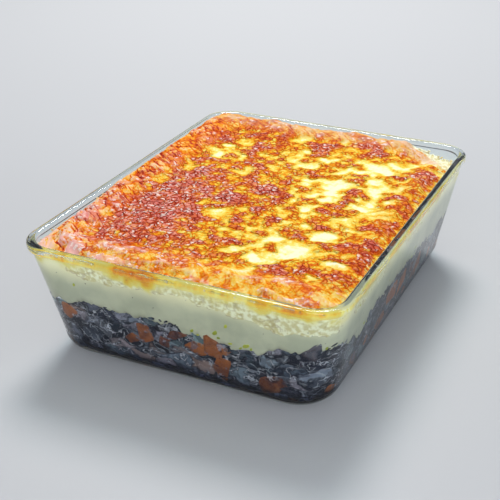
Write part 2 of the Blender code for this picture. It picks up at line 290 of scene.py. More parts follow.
def new_piece(name, points, faces, material, values=None):
    """A mesh that rides on the part. values holds an array of numbers for each named attribute."""
    mesh = bpy.data.meshes.new(name)
    mesh.vertices.add(len(points))
    mesh.vertices.foreach_set("co", np.asarray(points, np.float32).ravel())
    corners = np.concatenate([np.asarray(group, np.int32).ravel() for group in faces])
    sizes = np.concatenate([np.full(len(group), len(group[0]), np.int32) for group in faces])
    mesh.loops.add(len(corners))
    mesh.loops.foreach_set("vertex_index", corners)
    mesh.polygons.add(len(sizes))
    mesh.polygons.foreach_set("loop_start", (np.cumsum(sizes) - sizes).astype(np.int32))
    mesh.update(calc_edges=True)
    mesh.validate()
    mesh.shade_smooth()
    for key, numbers in (values or {}).items():
        attribute = mesh.attributes.new(key, "FLOAT", "POINT")
        attribute.data.foreach_set("value", np.asarray(numbers, np.float32))
    mesh.materials.append(material)
    piece = bpy.data.objects.new(name, mesh)
    bpy.context.scene.collection.objects.link(piece)
    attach(piece, "root")
    return piece


def ring_bands(columns, rows, first=0):
    """Faces between rings of vertices that are stored ring after ring."""
    k = np.arange(columns)
    after = (k + 1) % columns
    low = first + columns * np.arange(rows - 1)[:, None]
    high = low + columns
    return np.stack([low + k, low + after, high + after, high + k], axis=-1).reshape(-1, 4)


def net_inside(border, spacing):
    """Points of a staggered grid inside a convex outline, clear of its edge."""
    low = border.min(axis=0)
    high = border.max(axis=0)
    rows = int((high[1] - low[1]) / (spacing * 0.87))
    kept = []
    for row in range(1, rows):
        y = low[1] + (high[1] - low[1]) * row / rows
        shift = 0.5 * spacing if row % 2 else 0.0
        xs = np.arange(low[0] + shift, high[0], spacing)
        kept.append(np.stack([xs, np.full_like(xs, y)], axis=1))
    kept = np.concatenate(kept)
    edges = np.roll(border, -1, axis=0) - border
    length = np.linalg.norm(edges, axis=1)
    real = length > 1e-7
    border, edges, length = border[real], edges[real], length[real]
    normals = np.stack([-edges[:, 1], edges[:, 0]], axis=1) / length[:, None]
    clearance = np.einsum("ijk,jk->ij", kept[:, None, :] - border[None], normals).min(axis=1)
    return kept[clearance > spacing * 0.55]


def cap_net(ring, spacing, ring_first, inside_first):
    """Closes a ring of a mesh with a net of triangles: the x and y of the points inside it, and the faces.

    ring_first and inside_first are the mesh's numbers for the ring's first point and the first one inside.
    """
    border = ring[:, :2]
    inside = net_inside(border, spacing)
    points = [Vector(point) for point in (*border, *inside)]
    result = delaunay_2d_cdt(points, [], [list(range(len(border)))], 1, 1e-8)
    order = [source[0] for source in result[3]]
    triangles = np.array([[order[k] for k in face] for face in result[2] if len(face) == 3])
    numbers = np.concatenate([ring_first + np.arange(len(border)), inside_first + np.arange(len(inside))])
    return inside, numbers[triangles]


def rounded_plan(x, y, inset, corner):
    """Moves points of a plain rectangle of the dish's plan into one with round corners, set in and scaled."""

    def split(value, full):
        """A coordinate's sign, its reach along the straight side, and its share of the corner."""
        straight = full - RIM_CORNER_RADIUS
        size = np.abs(value)
        reach = np.minimum(size / straight, 1.0) * (full - inset - corner)
        return np.sign(value), reach, np.clip((size - straight) / RIM_CORNER_RADIUS, 0.0, 1.0)

    sign_x, reach_x, share_x = split(x, DISH_WIDTH / 2)
    sign_y, reach_y, share_y = split(y, DISH_LENGTH / 2)
    new_x = sign_x * (reach_x + corner * share_x * np.sqrt(1.0 - share_y * share_y / 2.0))
    new_y = sign_y * (reach_y + corner * share_y * np.sqrt(1.0 - share_x * share_x / 2.0))
    return new_x, new_y


# ---------------------------------------------------------------- places along the inside of the glass

CAVITY_TOP_OF_ROUND = BASE_THICKNESS + FLOOR_EDGE_RADIUS
WALL_SLOPE = math.atan2(WALL_LEAN, DISH_HEIGHT)
ROUND_RUN = FLOOR_EDGE_RADIUS * math.pi / 2
REFERENCE_LEVEL = 0.025
REFERENCE_CORNER = outer_corner(REFERENCE_LEVEL) - WALL_THICKNESS
HALF_RUN_X = DISH_WIDTH / 2 - outer_lean(REFERENCE_LEVEL) - WALL_THICKNESS - REFERENCE_CORNER
HALF_RUN_Y = DISH_LENGTH / 2 - outer_lean(REFERENCE_LEVEL) - WALL_THICKNESS - REFERENCE_CORNER
CORNER_RUN = REFERENCE_CORNER * math.pi / 2
RUNS = np.array([2 * HALF_RUN_X, CORNER_RUN, 2 * HALF_RUN_Y, CORNER_RUN] * 2)
RUN_STARTS = np.concatenate([[0.0], np.cumsum(RUNS)])
ROUND_TRIP = RUN_STARTS[-1]
RIGHT_MIDDLE = HALF_RUN_X + CORNER_RUN + HALF_RUN_Y
BACK_RIGHT_CORNER = HALF_RUN_X + CORNER_RUN + 2 * HALF_RUN_Y + CORNER_RUN * 0.5
SMALLEST_CORNER = 0.002
LEAN_START_WIDTH = 0.004


def profile(up):
    """The cavity's outline at a run up from the floor's edge: extra inset, height and way inward."""
    turn = np.clip(up / FLOOR_EDGE_RADIUS, 0.0, math.pi / 2)
    above = np.maximum(up - ROUND_RUN, 0.0)
    height = BASE_THICKNESS + FLOOR_EDGE_RADIUS * (1 - np.cos(turn)) + above * math.cos(WALL_SLOPE)
    tuck = FLOOR_EDGE_RADIUS * (1 - np.sin(turn)) + np.maximum(-up, 0.0)
    lean = np.where(above > 0, WALL_SLOPE * smooth_step(above / LEAN_START_WIDTH), 0.0)
    return tuck, height, np.sin(turn) * np.cos(lean), np.cos(turn) + np.sin(lean) * np.sin(turn)


def wall_point(along, up, depth):
    """A point in the dish from its run round the wall, its run up it, and its depth in from the glass.

    The run round the wall is 0 in the middle of the front and grows to the right.
    """
    tuck, height, inward, upward = profile(up)
    inset, corner = inner_plan(np.maximum(height, CAVITY_TOP_OF_ROUND))
    inset = inset + tuck + depth * inward
    corner = np.maximum(corner - tuck - depth * inward, SMALLEST_CORNER)
    half_x = DISH_WIDTH / 2 - inset
    half_y = DISH_LENGTH / 2 - inset
    reach_x = half_x - corner
    reach_y = half_y - corner
    run = np.mod(along + HALF_RUN_X, ROUND_TRIP)
    index = np.clip(np.searchsorted(RUN_STARTS, run, side="right") - 1, 0, 7)
    side = index // 2
    turning = index % 2 == 1
    share = (run - RUN_STARTS[index]) / RUNS[index]
    angle = side * (math.pi / 2) - math.pi / 2 + share * (math.pi / 2)
    round_x = np.choose(side, [1, 1, -1, -1]) * reach_x + corner * np.cos(angle)
    round_y = np.choose(side, [-1, 1, 1, -1]) * reach_y + corner * np.sin(angle)
    swing = 2 * share - 1
    straight_x = np.choose(side, [swing * reach_x, half_x, -swing * reach_x, -half_x])
    straight_y = np.choose(side, [-half_y, swing * reach_y, half_y, -swing * reach_y])
    x = np.where(turning, round_x, straight_x)
    y = np.where(turning, round_y, straight_y)
    return np.stack([x, y, height + depth * upward], axis=-1)


def run_up_to(height):
    """The run up the wall at which it reaches a height."""
    return ROUND_RUN + (height - CAVITY_TOP_OF_ROUND) / math.cos(WALL_SLOPE)


def seam_run(along):
    """The run up the wall at which the filling ends and the mash begins."""
    place = wall_point(along, np.full_like(along, run_up_to(LAYER_LEVEL)), np.zeros_like(along))
    return run_up_to(seam_height(place[:, 0], place[:, 1]))


def seam_at(along):
    """The same at one place."""
    return float(seam_run(np.array([along]))[0])


# ---------------------------------------------------------------- materials


def colour(red, green, blue):
    """A colour from its usual parts of 0 to 255, as the shaders take it."""
    parts = []
    for part in (red, green, blue):
        share = part / 255.0
        parts.append(share / 12.92 if share <= 0.04045 else ((share + 0.055) / 1.055) ** 2.4)
    return (*parts, 1.0)


class Graph:
    """A material and its nodes."""

    def __init__(self, name):
        self.material = bpy.data.materials.new(name)
        self.material.use_nodes = True
        self.tree = self.material.node_tree
        self.shader = self.tree.nodes["Principled BSDF"]
        self.place = self.node("ShaderNodeTexCoord", "Object")

    def feed(self, socket, value):
        if isinstance(value, bpy.types.NodeSocket):
            self.tree.links.new(value, socket)
        else:
            socket.default_value = value

    def node(self, kind, output, inputs=None, **settings):
        """Makes a node, feeds its inputs and gives its output."""
        made = self.tree.nodes.new(kind)
        for key, value in settings.items():
            setattr(made, key, value)
        for key, value in (inputs or {}).items():
            self.feed(made.inputs[key], value)
        return made.outputs[output]

    def set(self, **values):
        for key, value in values.items():
            self.feed(self.shader.inputs[key.replace("_", " ")], value)

    def attribute(self, name):
        return self.node("ShaderNodeAttribute", "Fac", attribute_name=name)

    def math(self, operation, first, second=0.0, clamp=False):
        return self.node("ShaderNodeMath", 0, {0: first, 1: second}, operation=operation, use_clamp=clamp)

    def times(self, first, second):
        return self.math("MULTIPLY", first, second)

    def plus(self, first, second, clamp=False):
        return self.math("ADD", first, second, clamp)

    def minus(self, first, second, clamp=False):
        return self.math("SUBTRACT", first, second, clamp)

    def rest_of(self, value):
        """What a share leaves of 1."""
        return self.math("SUBTRACT", 1.0, value)

    def noise(self, size, detail=2.0, place=None):
        inputs = {"Vector": place or self.place, "Scale": 1.0 / size, "Detail": detail}
        return self.node("ShaderNodeTexNoise", "Fac", inputs)

    def swing(self, size, strength, detail=2.0, place=None):
        """Noise round zero, of a strength each way."""
        return self.times(self.minus(self.noise(size, detail, place), 0.5), 2.0 * strength)

    def cells(self, size, output="Distance", feature="F1", place=None, flat=False):
        inputs = {"Vector": place or self.place, "Scale": 1.0 / size}
        space = "2D" if flat else "3D"
        return self.node("ShaderNodeTexVoronoi", output, inputs, feature=feature, voronoi_dimensions=space)

    def warped(self, *steps):
        """Places pushed about by noise: (size, strength) for each step."""
        place = self.place
        for size, strength in steps:
            flow = self.node("ShaderNodeTexNoise", "Color", {"Vector": self.place, "Scale": 1.0 / size})
            inputs = {0: flow, 1: (strength, strength, strength), 2: place}
            place = self.node("ShaderNodeVectorMath", 0, inputs, operation="MULTIPLY_ADD")
        return place

    def mapped(self, place, scale, turn=0.0, **settings):
        """Places stretched by a scale on each axis, and turned round the upright axis."""
        inputs = {"Vector": place, "Rotation": (0.0, 0.0, turn), "Scale": scale}
        return self.node("ShaderNodeMapping", 0, inputs, **settings)

    def height(self):
        return self.node("ShaderNodeSeparateXYZ", "Z", {0: self.place})

    def parts(self, shade):
        """A colour's red, green and blue."""
        return self.node("ShaderNodeSeparateColor", 0, {0: shade}).node.outputs

    def between(self, value, low, high):
        """0 where a value is at its low end or less, 1 at its high end or more, and smooth between."""
        inputs = {"Value": value, "From Min": low, "From Max": high}
        return self.node("ShaderNodeMapRange", "Result", inputs, interpolation_type="SMOOTHSTEP")

    def patches(self, size, detail, low, high):
        """Patches of noise: 0 outside them and 1 inside."""
        return self.between(self.noise(size, detail), low, high)

    def mix(self, share, first, second, blend="MIX"):
        inputs = {0: share, 6: first, 7: second}
        return self.node("ShaderNodeMix", 2, inputs, data_type="RGBA", blend_type=blend)

    def over(self, base, share, strength, shade):
        """A shade laid over another with a share and a strength."""
        return self.mix(self.times(share, strength), base, shade)

    def ramp(self, value, stops):
        """Colours along a value: (position, red, green, blue) for each."""
        shade = self.node("ShaderNodeValToRGB", "Color", {"Fac": value})
        elements = shade.node.color_ramp.elements
        while len(elements) < len(stops):
            elements.new(0.5)
        for element, (position, *parts) in zip(elements, stops):
            element.position = position
            element.color = colour(*parts)
        return shade

    def bump(self, height, distance, strength=1.0, below=None):
        inputs = {"Strength": strength, "Distance": distance, "Height": height}
        if below is not None:
            inputs["Normal"] = below
        return self.node("ShaderNodeBump", "Normal", inputs)


def glass_material():
    g = Graph("clear pressed glass")
    g.set(Base_Color=colour(240, 250, 252), Roughness=0.0, IOR=1.5, Transmission_Weight=1.0)
    g.set(Normal=g.bump(g.noise(0.030, 1.0), 0.0006, 0.25))
    # Light passes straight through it to the food, so that the glass throws no dark shadow
    see = g.node("ShaderNodeBsdfTransparent", 0, {"Color": colour(236, 244, 246)})
    in_shadow = g.node("ShaderNodeLightPath", "Is Shadow Ray")
    blend = g.node("ShaderNodeMixShader", 0, {0: in_shadow, 1: g.shader.outputs[0], 2: see})
    g.feed(g.tree.nodes["Material Output"].inputs["Surface"], blend)
    return g.material


# The crust's colours from bare cheese to the darkest browning
CRUST_COLOURS = [
    (0.00, 255, 253, 214), (0.10, 252, 238, 132), (0.23, 251, 206, 62), (0.34, 246, 158, 22),
    (0.45, 238, 122, 8), (0.58, 220, 94, 14), (0.74, 194, 60, 18), (1.00, 140, 34, 20),
]
# The same browning behind the glass, where it is more yellow
SIDE_COLOURS = [
    (0.00, 238, 226, 176), (0.14, 240, 224, 128), (0.30, 240, 200, 68), (0.46, 234, 158, 42),
    (0.62, 214, 108, 34), (0.80, 160, 64, 30), (1.00, 100, 36, 22),
]
# Sizes of the crust's bubbles of cheese, and of the torn patches that the filling is made of
BUBBLE_SIZE = 0.0036
PATCH_SIZE = 0.0136


def mash_material():
    g = Graph("mash and crust")
    names = ("browning_and_shade", "side", "crumb", "dry_and_sheen", "bubbly", "ridge", "forked", "tan_at_back")
    browning_and_shade, side, crumb, dry_and_sheen, bubbly, ridge, forked, tan_at_back = [g.attribute(name) for name in names]

    # Bubbles of cheese: darker in the creases between them as painted shade, and each a little darker or
    # paler than the next
    plan = g.warped((0.0090, 0.0080), (0.0024, 0.0034))
    edge = g.cells(BUBBLE_SIZE, feature="DISTANCE_TO_EDGE", place=plan, flat=True)
    lot = g.parts(g.cells(BUBBLE_SIZE, "Color", place=plan, flat=True))[0]
    crease_shade = g.rest_of(g.between(edge, 0.0, 0.24))
    round_top = g.times(g.between(g.plus(edge, g.swing(0.0022, 0.30, 2.0)), 0.05, 0.21), bubbly)
    uneven = g.plus(g.times(crease_shade, 0.26), g.times(lot, 0.24))
    uneven = g.times(g.minus(uneven, 0.21), bubbly)

    # Fine dark lines along the border's ridges: painted shade in the grooves that the fork's prongs drew
    heading = math.radians(STROKE_HEADING)
    drawn = g.mapped(g.warped((0.0200, 0.0100)), (7.0, 1.0, 1.0), heading, vector_type="TEXTURE")
    groove_shade = g.times(g.between(g.noise(0.0018, 2.0, drawn), 0.54, 0.62), forked)
    uneven = g.plus(uneven, g.times(groove_shade, 0.36))
    fine = g.plus(g.swing(0.0034, 0.20, 3.0), g.swing(0.0014, 0.17, 2.0))
    detail = g.times(fine, g.between(browning_and_shade, -0.30, 0.30))
    # Browning, with the painted shade of the creases and grooves added
    baked_and_shade = g.plus(browning_and_shade, g.plus(uneven, detail))
    top = g.ramp(baked_and_shade, CRUST_COLOURS)

    # Pinkish crowns of the bubbles and ridges, partly dried crust and partly painted sheen, with painted
    # highlight glints on them
    ridge_top = g.between(g.plus(ridge, g.swing(0.0028, 0.40, 3.0)), 0.30, 0.62)
    patches = g.plus(0.45, g.times(g.patches(0.0090, 2.0, 0.38, 0.56), 0.55))
    crown = g.times(g.math("MAXIMUM", round_top, ridge_top), g.times(dry_and_sheen, patches))
    crown = g.times(crown, g.rest_of(g.times(groove_shade, 0.8)))
    pink_crown_and_sheen = g.mix(g.between(browning_and_shade, 0.34, 0.72), colour(244, 178, 172), colour(238, 138, 130))
    peach = g.times(g.rest_of(g.between(baked_and_shade, 0.12, 0.34)), forked)
    top = g.over(top, peach, 0.8, colour(248, 192, 174))
    top = g.over(top, crown, 0.90, pink_crown_and_sheen)
    # A duller tan colour on the back border
    top = g.mix(tan_at_back, top, g.mix(g.between(browning_and_shade, 0.24, 0.44), colour(226, 186, 120), colour(196, 128, 100)))
    swell = g.noise(0.0030, 2.5)
    # Painted highlight: pale glints where the noise crests on the crowns
    painted_glint = g.times(g.between(swell, 0.54, 0.62), g.between(crown, 0.03, 0.36))
    top = g.over(top, painted_glint, 0.95, colour(255, 228, 218))

    # The cream mash behind the glass: close and smooth below a ragged line, paler and broken above it
    smooth_side = g.mix(g.patches(0.016, 3.0, 0.35, 0.65), colour(192, 193, 168), colour(210, 209, 182))
    smooth_side = g.mix(g.between(g.height(), 0.050, 0.064), smooth_side, colour(250, 242, 202))
    broken_side = g.mix(g.patches(0.0026, 4.0, 0.40, 0.60), colour(222, 212, 160), colour(253, 250, 220))
    torn = g.plus(crumb, g.swing(0.0034, 0.40, 3.0))
    plain = g.mix(g.between(torn, 0.40, 0.60), smooth_side, broken_side)
    tear = g.minus(g.between(torn, 0.38, 0.44), g.between(torn, 0.48, 0.56), clamp=True)
    tear = g.times(tear, g.patches(0.0060, 1.0, 0.46, 0.58))
    plain = g.over(plain, tear, 0.58, colour(156, 126, 84))
    lying = g.mapped(g.warped((0.0070, 0.0100), (0.0022, 0.0034)), (0.6, 0.6, 1.3))
    lumps = g.cells(0.0080, feature="DISTANCE_TO_EDGE", place=lying)
    between_lumps = g.rest_of(g.between(lumps, 0.01, 0.12))
    between_lumps = g.times(between_lumps, g.between(torn, 0.46, 0.62))
    between_lumps = g.times(between_lumps, g.patches(0.0060, 1.0, 0.46, 0.58))
    plain = g.over(plain, between_lumps, 0.45, colour(166, 142, 94))
    low = g.times(g.attribute("foot"), g.patches(0.0050, 2.0, 0.40, 0.60))
    plain = g.over(plain, low, 0.75, colour(132, 116, 84))
    stain = g.ramp(g.plus(browning_and_shade, g.swing(0.0030, 0.14, 3.0)), SIDE_COLOURS)
    walled = g.mix(g.between(browning_and_shade, 0.02, 0.18), plain, stain)
    g.set(Base_Color=g.mix(side, top, walled))
    dull = g.plus(0.66, g.times(g.noise(0.004, 3.0), 0.24))
    g.set(Roughness=g.minus(dull, g.times(crown, 0.40)), Specular_IOR_Level=0.05)
    rough = g.times(g.noise(0.0012, 4.0), g.plus(0.10, browning_and_shade))
    first = g.bump(rough, 0.0008, 0.9)
    rounded = g.times(g.between(edge, 0.0, 0.30), g.times(bubbly, g.rest_of(side)))
    second = g.bump(rounded, 0.0008, 1.0, first)
    swelled = g.times(swell, g.plus(0.10, g.times(bubbly, 0.90)))
    g.set(Normal=g.bump(swelled, 0.0022, 0.8, second))
    return g.material


def filling_field(g):
    """Torn, overlapping greys with painted shade in their gaps, running through all that is soft in the
    filling to hold it together.
    """
    place = g.mapped(g.warped((0.012, 0.014), (0.0032, 0.0040)), (1.0, 1.0, 1.7))
    parts = g.parts(g.cells(PATCH_SIZE, "Color", place=place))
    lot = g.plus(parts[0], g.swing(0.0040, 0.16, 3.0, place))
    base = g.ramp(lot, [
        (0.0, 6, 12, 34), (0.38, 12, 20, 46), (0.48, 50, 56, 76), (0.62, 98, 104, 120),
        (0.80, 158, 162, 172), (1.0, 206, 208, 214),
    ])
    tint = g.ramp(parts[1], [
        (0.0, 178, 206, 204), (0.4, 200, 212, 226), (0.7, 206, 200, 214), (1.0, 206, 168, 150),
    ])
    base = g.mix(1.0, base, tint, "MULTIPLY")
    edge = g.cells(PATCH_SIZE, feature="DISTANCE_TO_EDGE", place=place)
    # Dark gaps along the patches' edges: partly dark juices, partly painted shade
    dark = g.rest_of(g.between(edge, 0.02, 0.11))
    base = g.over(base, dark, 0.75, colour(16, 18, 36))
    rim = g.minus(g.between(edge, 0.05, 0.09), g.between(edge, 0.11, 0.17), clamp=True)
    rim = g.times(rim, g.rest_of(g.between(lot, 0.40, 0.52)))
    rim = g.times(rim, g.patches(0.0050, 2.0, 0.44, 0.54))
    base = g.over(base, rim, 0.75, colour(168, 172, 182))

    # Thin pale strips that curl, where slices are seen on edge, with painted shade in a dark gap beside them
    curl = g.math("ABSOLUTE", g.swing(0.0110, 0.5, 2.4, place))
    here = g.patches(0.0100, 1.0, 0.44, 0.54)
    gap = g.times(g.rest_of(g.between(curl, 0.03, 0.07)), here)
    base = g.over(base, gap, 0.8, colour(14, 16, 34))
    strip = g.times(g.rest_of(g.between(curl, 0.012, 0.024)), here)
    return g.mix(g.times(strip, 0.9), base, colour(204, 204, 214))


def deepened(g, shade):
    """Darker and bluer towards the bottom of the dish."""
    low = g.rest_of(g.between(g.height(), 0.0050, 0.0170))
    return g.mix(g.times(low, 0.9), shade, g.mix(1.0, shade, colour(44, 66, 126), "MULTIPLY"))


def pressed_material(name, dark, light, edge, painted_shade, size, gloss, share, edge_share=0.5, cover=0.75):
    """Cut food pressed on the glass: mottled, with a paler rim where it leaves the glass and painted shade
    where it lies deeper behind.

    share is how much of its own colour it keeps, beside the greys that run through the filling.
    """
    g = Graph(name)
    tone = g.attribute("tone")
    tuck = g.attribute("tuck")
    grain = g.plus(g.times(tone, 0.8), g.swing(size, 0.60, 4.0), clamp=True)
    covered = g.patches(0.0070, 4.0, 0.54, 0.60)
    kept = g.times(share, g.rest_of(g.times(covered, cover)))
    base = g.mix(kept, filling_field(g), g.mix(grain, dark, light))
    rim_on = g.between(tuck, 0.00010, 0.00030)
    rim_off = g.between(tuck, 0.00050, 0.0010)
    rim = g.times(g.minus(rim_on, rim_off, clamp=True), edge_share)
    rim = g.times(rim, g.patches(0.0045, 2.0, 0.46, 0.58))
    base = g.mix(rim, base, edge)
    # Painted shade: darker where the piece lies deeper behind the glass
    base = g.mix(g.between(tuck, 0.0007, 0.0024), base, painted_shade)
    g.set(Base_Color=deepened(g, base), Roughness=gloss, Specular_IOR_Level=0.05)
    g.set(Normal=g.bump(g.noise(size * 0.6, 4.0), 0.0004, 0.6))
    return g.material


def plain_food_material(name, first, second, size, gloss):
    g = Graph(name)
    base = g.mix(g.plus(g.attribute("tone"), g.swing(size, 0.3, 3.0), clamp=True), first, second)
    g.set(Base_Color=base, Roughness=gloss)
    g.set(Normal=g.bump(g.noise(size, 3.0), 0.0003, 0.5))
    return g.material


def core_material():
    g = Graph("dark juices and mince")
    speck = g.between(g.cells(0.0030), 0.10, 0.55)
    base = g.mix(g.times(speck, 0.5), filling_field(g), colour(30, 32, 46))
    g.set(Base_Color=deepened(g, base), Roughness=0.35, Specular_IOR_Level=0.05)
    g.set(Normal=g.bump(g.noise(0.0022, 4.0), 0.0008, 0.7))
    return g.material


# ---------------------------------------------------------------- the dish

# The net's steps: round a corner and along a side in plan, over the edges of base and floor, and over the lip
CORNER_STEPS = 24
SIDE_STEP = 0.0060
EDGE_STEPS = 14
LIP_STEPS = 10
# How far in from its round edge the one large face of the base begins, and that of the floor inside
FLAT_MARGIN = 0.0012


def dish_outline(inset, corner):
    """Points of a rounded rectangle, anticlockwise from above, as an array of x and y."""
    half_x = DISH_WIDTH / 2 - inset
    half_y = DISH_LENGTH / 2 - inset
    straight = (DISH_WIDTH - 2 * RIM_CORNER_RADIUS, DISH_LENGTH - 2 * RIM_CORNER_RADIUS)
    arcs = []
    for sign_x, sign_y, first_angle in [(1, 1, 0.0), (-1, 1, 90.0), (-1, -1, 180.0), (1, -1, 270.0)]:
        angles = np.radians(first_angle + np.linspace(0.0, 90.0, CORNER_STEPS + 1))
        centre = np.array([sign_x * (half_x - corner), sign_y * (half_y - corner)])
        arcs.append(centre + corner * np.stack([np.cos(angles), np.sin(angles)], axis=1))
    parts = []
    for index, arc in enumerate(arcs):
        steps = round(straight[index % 2] / SIDE_STEP)
        end = arcs[(index + 1) % 4][0]
        shares = np.arange(1, steps)[:, None] / steps
        parts += [arc, arc[-1] + (end - arc[-1]) * shares]
    return np.concatenate(parts)


def quarter_turn(steps, falling):
    """Steps round a quarter of a circle of radius 1: how far in from its side each lies, and how far up.

    They rise from the side to the top, or fall from the top to the side.
    """
    shares = [90.0 * (1.0 - step / steps) if falling else 90.0 * step / steps for step in range(steps + 1)]
    angles = [math.radians(share) for share in shares]
    return [(1.0 - math.cos(angle), math.sin(angle)) for angle in angles]


def make_dish():
    """The glass, in rings: outside from the base up, over the lip, and down the inside to the floor.

    Each level is the ring's inset, corner radius and height.
    """
    lean = outer_lean(BASE_EDGE_RADIUS)
    corner = outer_corner(BASE_EDGE_RADIUS)
    flat_inset = BASE_EDGE_RADIUS + FLAT_MARGIN
    levels = [(lean + flat_inset, corner - flat_inset, 0.0)]
    for inward, upward in quarter_turn(EDGE_STEPS, falling=True):
        tuck = BASE_EDGE_RADIUS * inward
        levels.append((lean + tuck, corner - tuck, BASE_EDGE_RADIUS * (1.0 - upward)))
    band_foot = DISH_HEIGHT - RIM_BAND_HEIGHT
    under_band = band_foot - RIM_BAND_CHAMFER
    for z in (BASE_EDGE_RADIUS + 0.001, 0.030, 0.050, under_band - 0.0008, under_band):
        levels.append((outer_lean(z), outer_corner(z), z))
    levels.append((RIM_BAND_PROUD * 0.35, RIM_CORNER_RADIUS, under_band + 0.00018))
    levels.append((0.0, RIM_CORNER_RADIUS, band_foot + 0.0002))
    lip_foot = DISH_HEIGHT - LIP_RADIUS
    for inward, upward in quarter_turn(LIP_STEPS, falling=False):
        tuck = LIP_RADIUS * inward
        levels.append((tuck, RIM_CORNER_RADIUS - tuck, lip_foot + LIP_RADIUS * upward))
    inset, corner = inner_plan(lip_foot)
    for inward, upward in quarter_turn(LIP_STEPS, falling=True):
        tuck = LIP_RADIUS * inward
        levels.append((inset - tuck, corner + tuck, lip_foot + LIP_RADIUS * upward))
    for z in (lip_foot - 0.001, 0.055, 0.035, CAVITY_TOP_OF_ROUND + 0.001):
        levels.append((*inner_plan(z), z))
    inset, corner = inner_plan(CAVITY_TOP_OF_ROUND)
    for inward, upward in quarter_turn(EDGE_STEPS, falling=False):
        tuck = FLOOR_EDGE_RADIUS * inward
        levels.append((inset + tuck, corner - tuck, CAVITY_TOP_OF_ROUND - FLOOR_EDGE_RADIUS * upward))
    flat_inset = FLOOR_EDGE_RADIUS + FLAT_MARGIN
    levels.append((inset + flat_inset, corner - flat_inset, BASE_THICKNESS))

    rings = []
    for inset, corner, z in levels:
        plan = dish_outline(inset, corner)
        rings.append(np.column_stack([plan, np.full(len(plan), z)]))
    around = np.arange(len(rings[0]))
    sides = ring_bands(len(around), len(rings))
    floor = around + len(around) * (len(rings) - 1)
    faces = [sides, around[::-1][None], floor[None]]
    dish = new_piece("dish_glass", np.concatenate(rings), faces, glass_material())
    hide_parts("dish")


# ---------------------------------------------------------------- the crust

# The mash's net: its steps over the top, its gap to the wall there, and its rows down the wall
TOP_SPACING = 0.00089
SHOULDER_GAP = 0.0005
MASH_WALL_ROWS = 26
# Pale places where the cheese has not browned, as x, y, half width, half length and paleness
PALE_PLACES = [
    (-57, 64, 5, 4, 1.0), (-47, 68, 4, 7, 1.0), (-57, 46, 3, 6, 0.8), (-43, 53, 4, 3, 0.6),
    (-17, 97, 6, 11, 0.9), (-12, 68, 8, 6, 0.8), (-25, 58, 6, 4, 0.9), (-7, 79, 5, 6, 0.6),
    (0, 64, 4, 4, 0.5), (23, 81, 9, 7, 0.7), (17, 68, 6, 7, 0.8), (52, 68, 10, 9, 1.3),
    (63, 79, 10, 8, 1.0), (75, 91, 8, 6, 0.7), (60, 46, 6, 5, 1.0), (67, 34, 6, 11, 1.0),
    (77, 41, 3, 8, 0.7), (35, 31, 10, 9, 1.1), (38, 17, 6, 6, 0.9), (20, 33, 6, 5, 0.8), (7, 53, 9, 4, 0.6),
    (-7, 54, 6, 4, 0.6), (47, 58, 8, 5, 0.9), (33, 54, 5, 4, 0.8), (65, 6, 7, 6, 1.0), (80, -4, 7, 5, 0.9),
    (38, 6, 5, 6, 0.8), (33, -11, 5, 8, 0.8), (60, -22, 8, 6, 1.1), (-27, -30, 4, 4, 0.9),
    (-13, -42, 8, 7, 1.1), (-3, -26, 4, 5, 0.6), (58, -46, 8, 7, 1.1), (52, -71, 9, 8, 1.2),
    (77, -77, 8, 4, 1.0), (36, -85, 8, 8, 1.2), (30, -105, 9, 7, 1.1), (33, -59, 5, 7, 0.8),
    (17, -49, 7, 4, 0.6), (3, -61, 6, 3, 0.6), (-28, 24, 5, 5, 0.6), (-28, 11, 5, 4, 0.6),
    (0, 21, 4, 6, 0.5), (-18, 1, 5, 4, 0.5), (27, 8, 4, 5, 0.6), (20, -6, 3, 4, 0.6), (75, 16, 4, 5, 0.6),
    (67, -11, 5, 4, 0.8), (13, -84, 6, 4, 0.6), (80, -36, 5, 4, 0.5), (42, -37, 5, 5, 0.7),
    (28, -49, 5, 5, 0.7), (67, -61, 5, 3, 0.7), (-53, 120, 3, 7, 0.7), (-12, 114, 7, 8, 0.6),
    (3, 106, 5, 5, 0.5), (38, 116, 5, 4, 0.6), (50, 111, 4, 8, 0.6), (13, 106, 5, 5, 0.5),
    (-80, 8, 6, 5, 0.3), (-82, -39, 8, 6, 0.4), (-70, -29, 4, 5, 0.5), (-85, -116, 6, 7, 0.7),
    (-38, -101, 5, 4, 0.5), (-20, -114, 7, 3, 0.6), (83, 108, 10, 9, 1.1), (84, -112, 8, 7, 0.4),
    (10, -118, 14, 3, 0.4), (60, -116, 12, 4, 0.4),
]
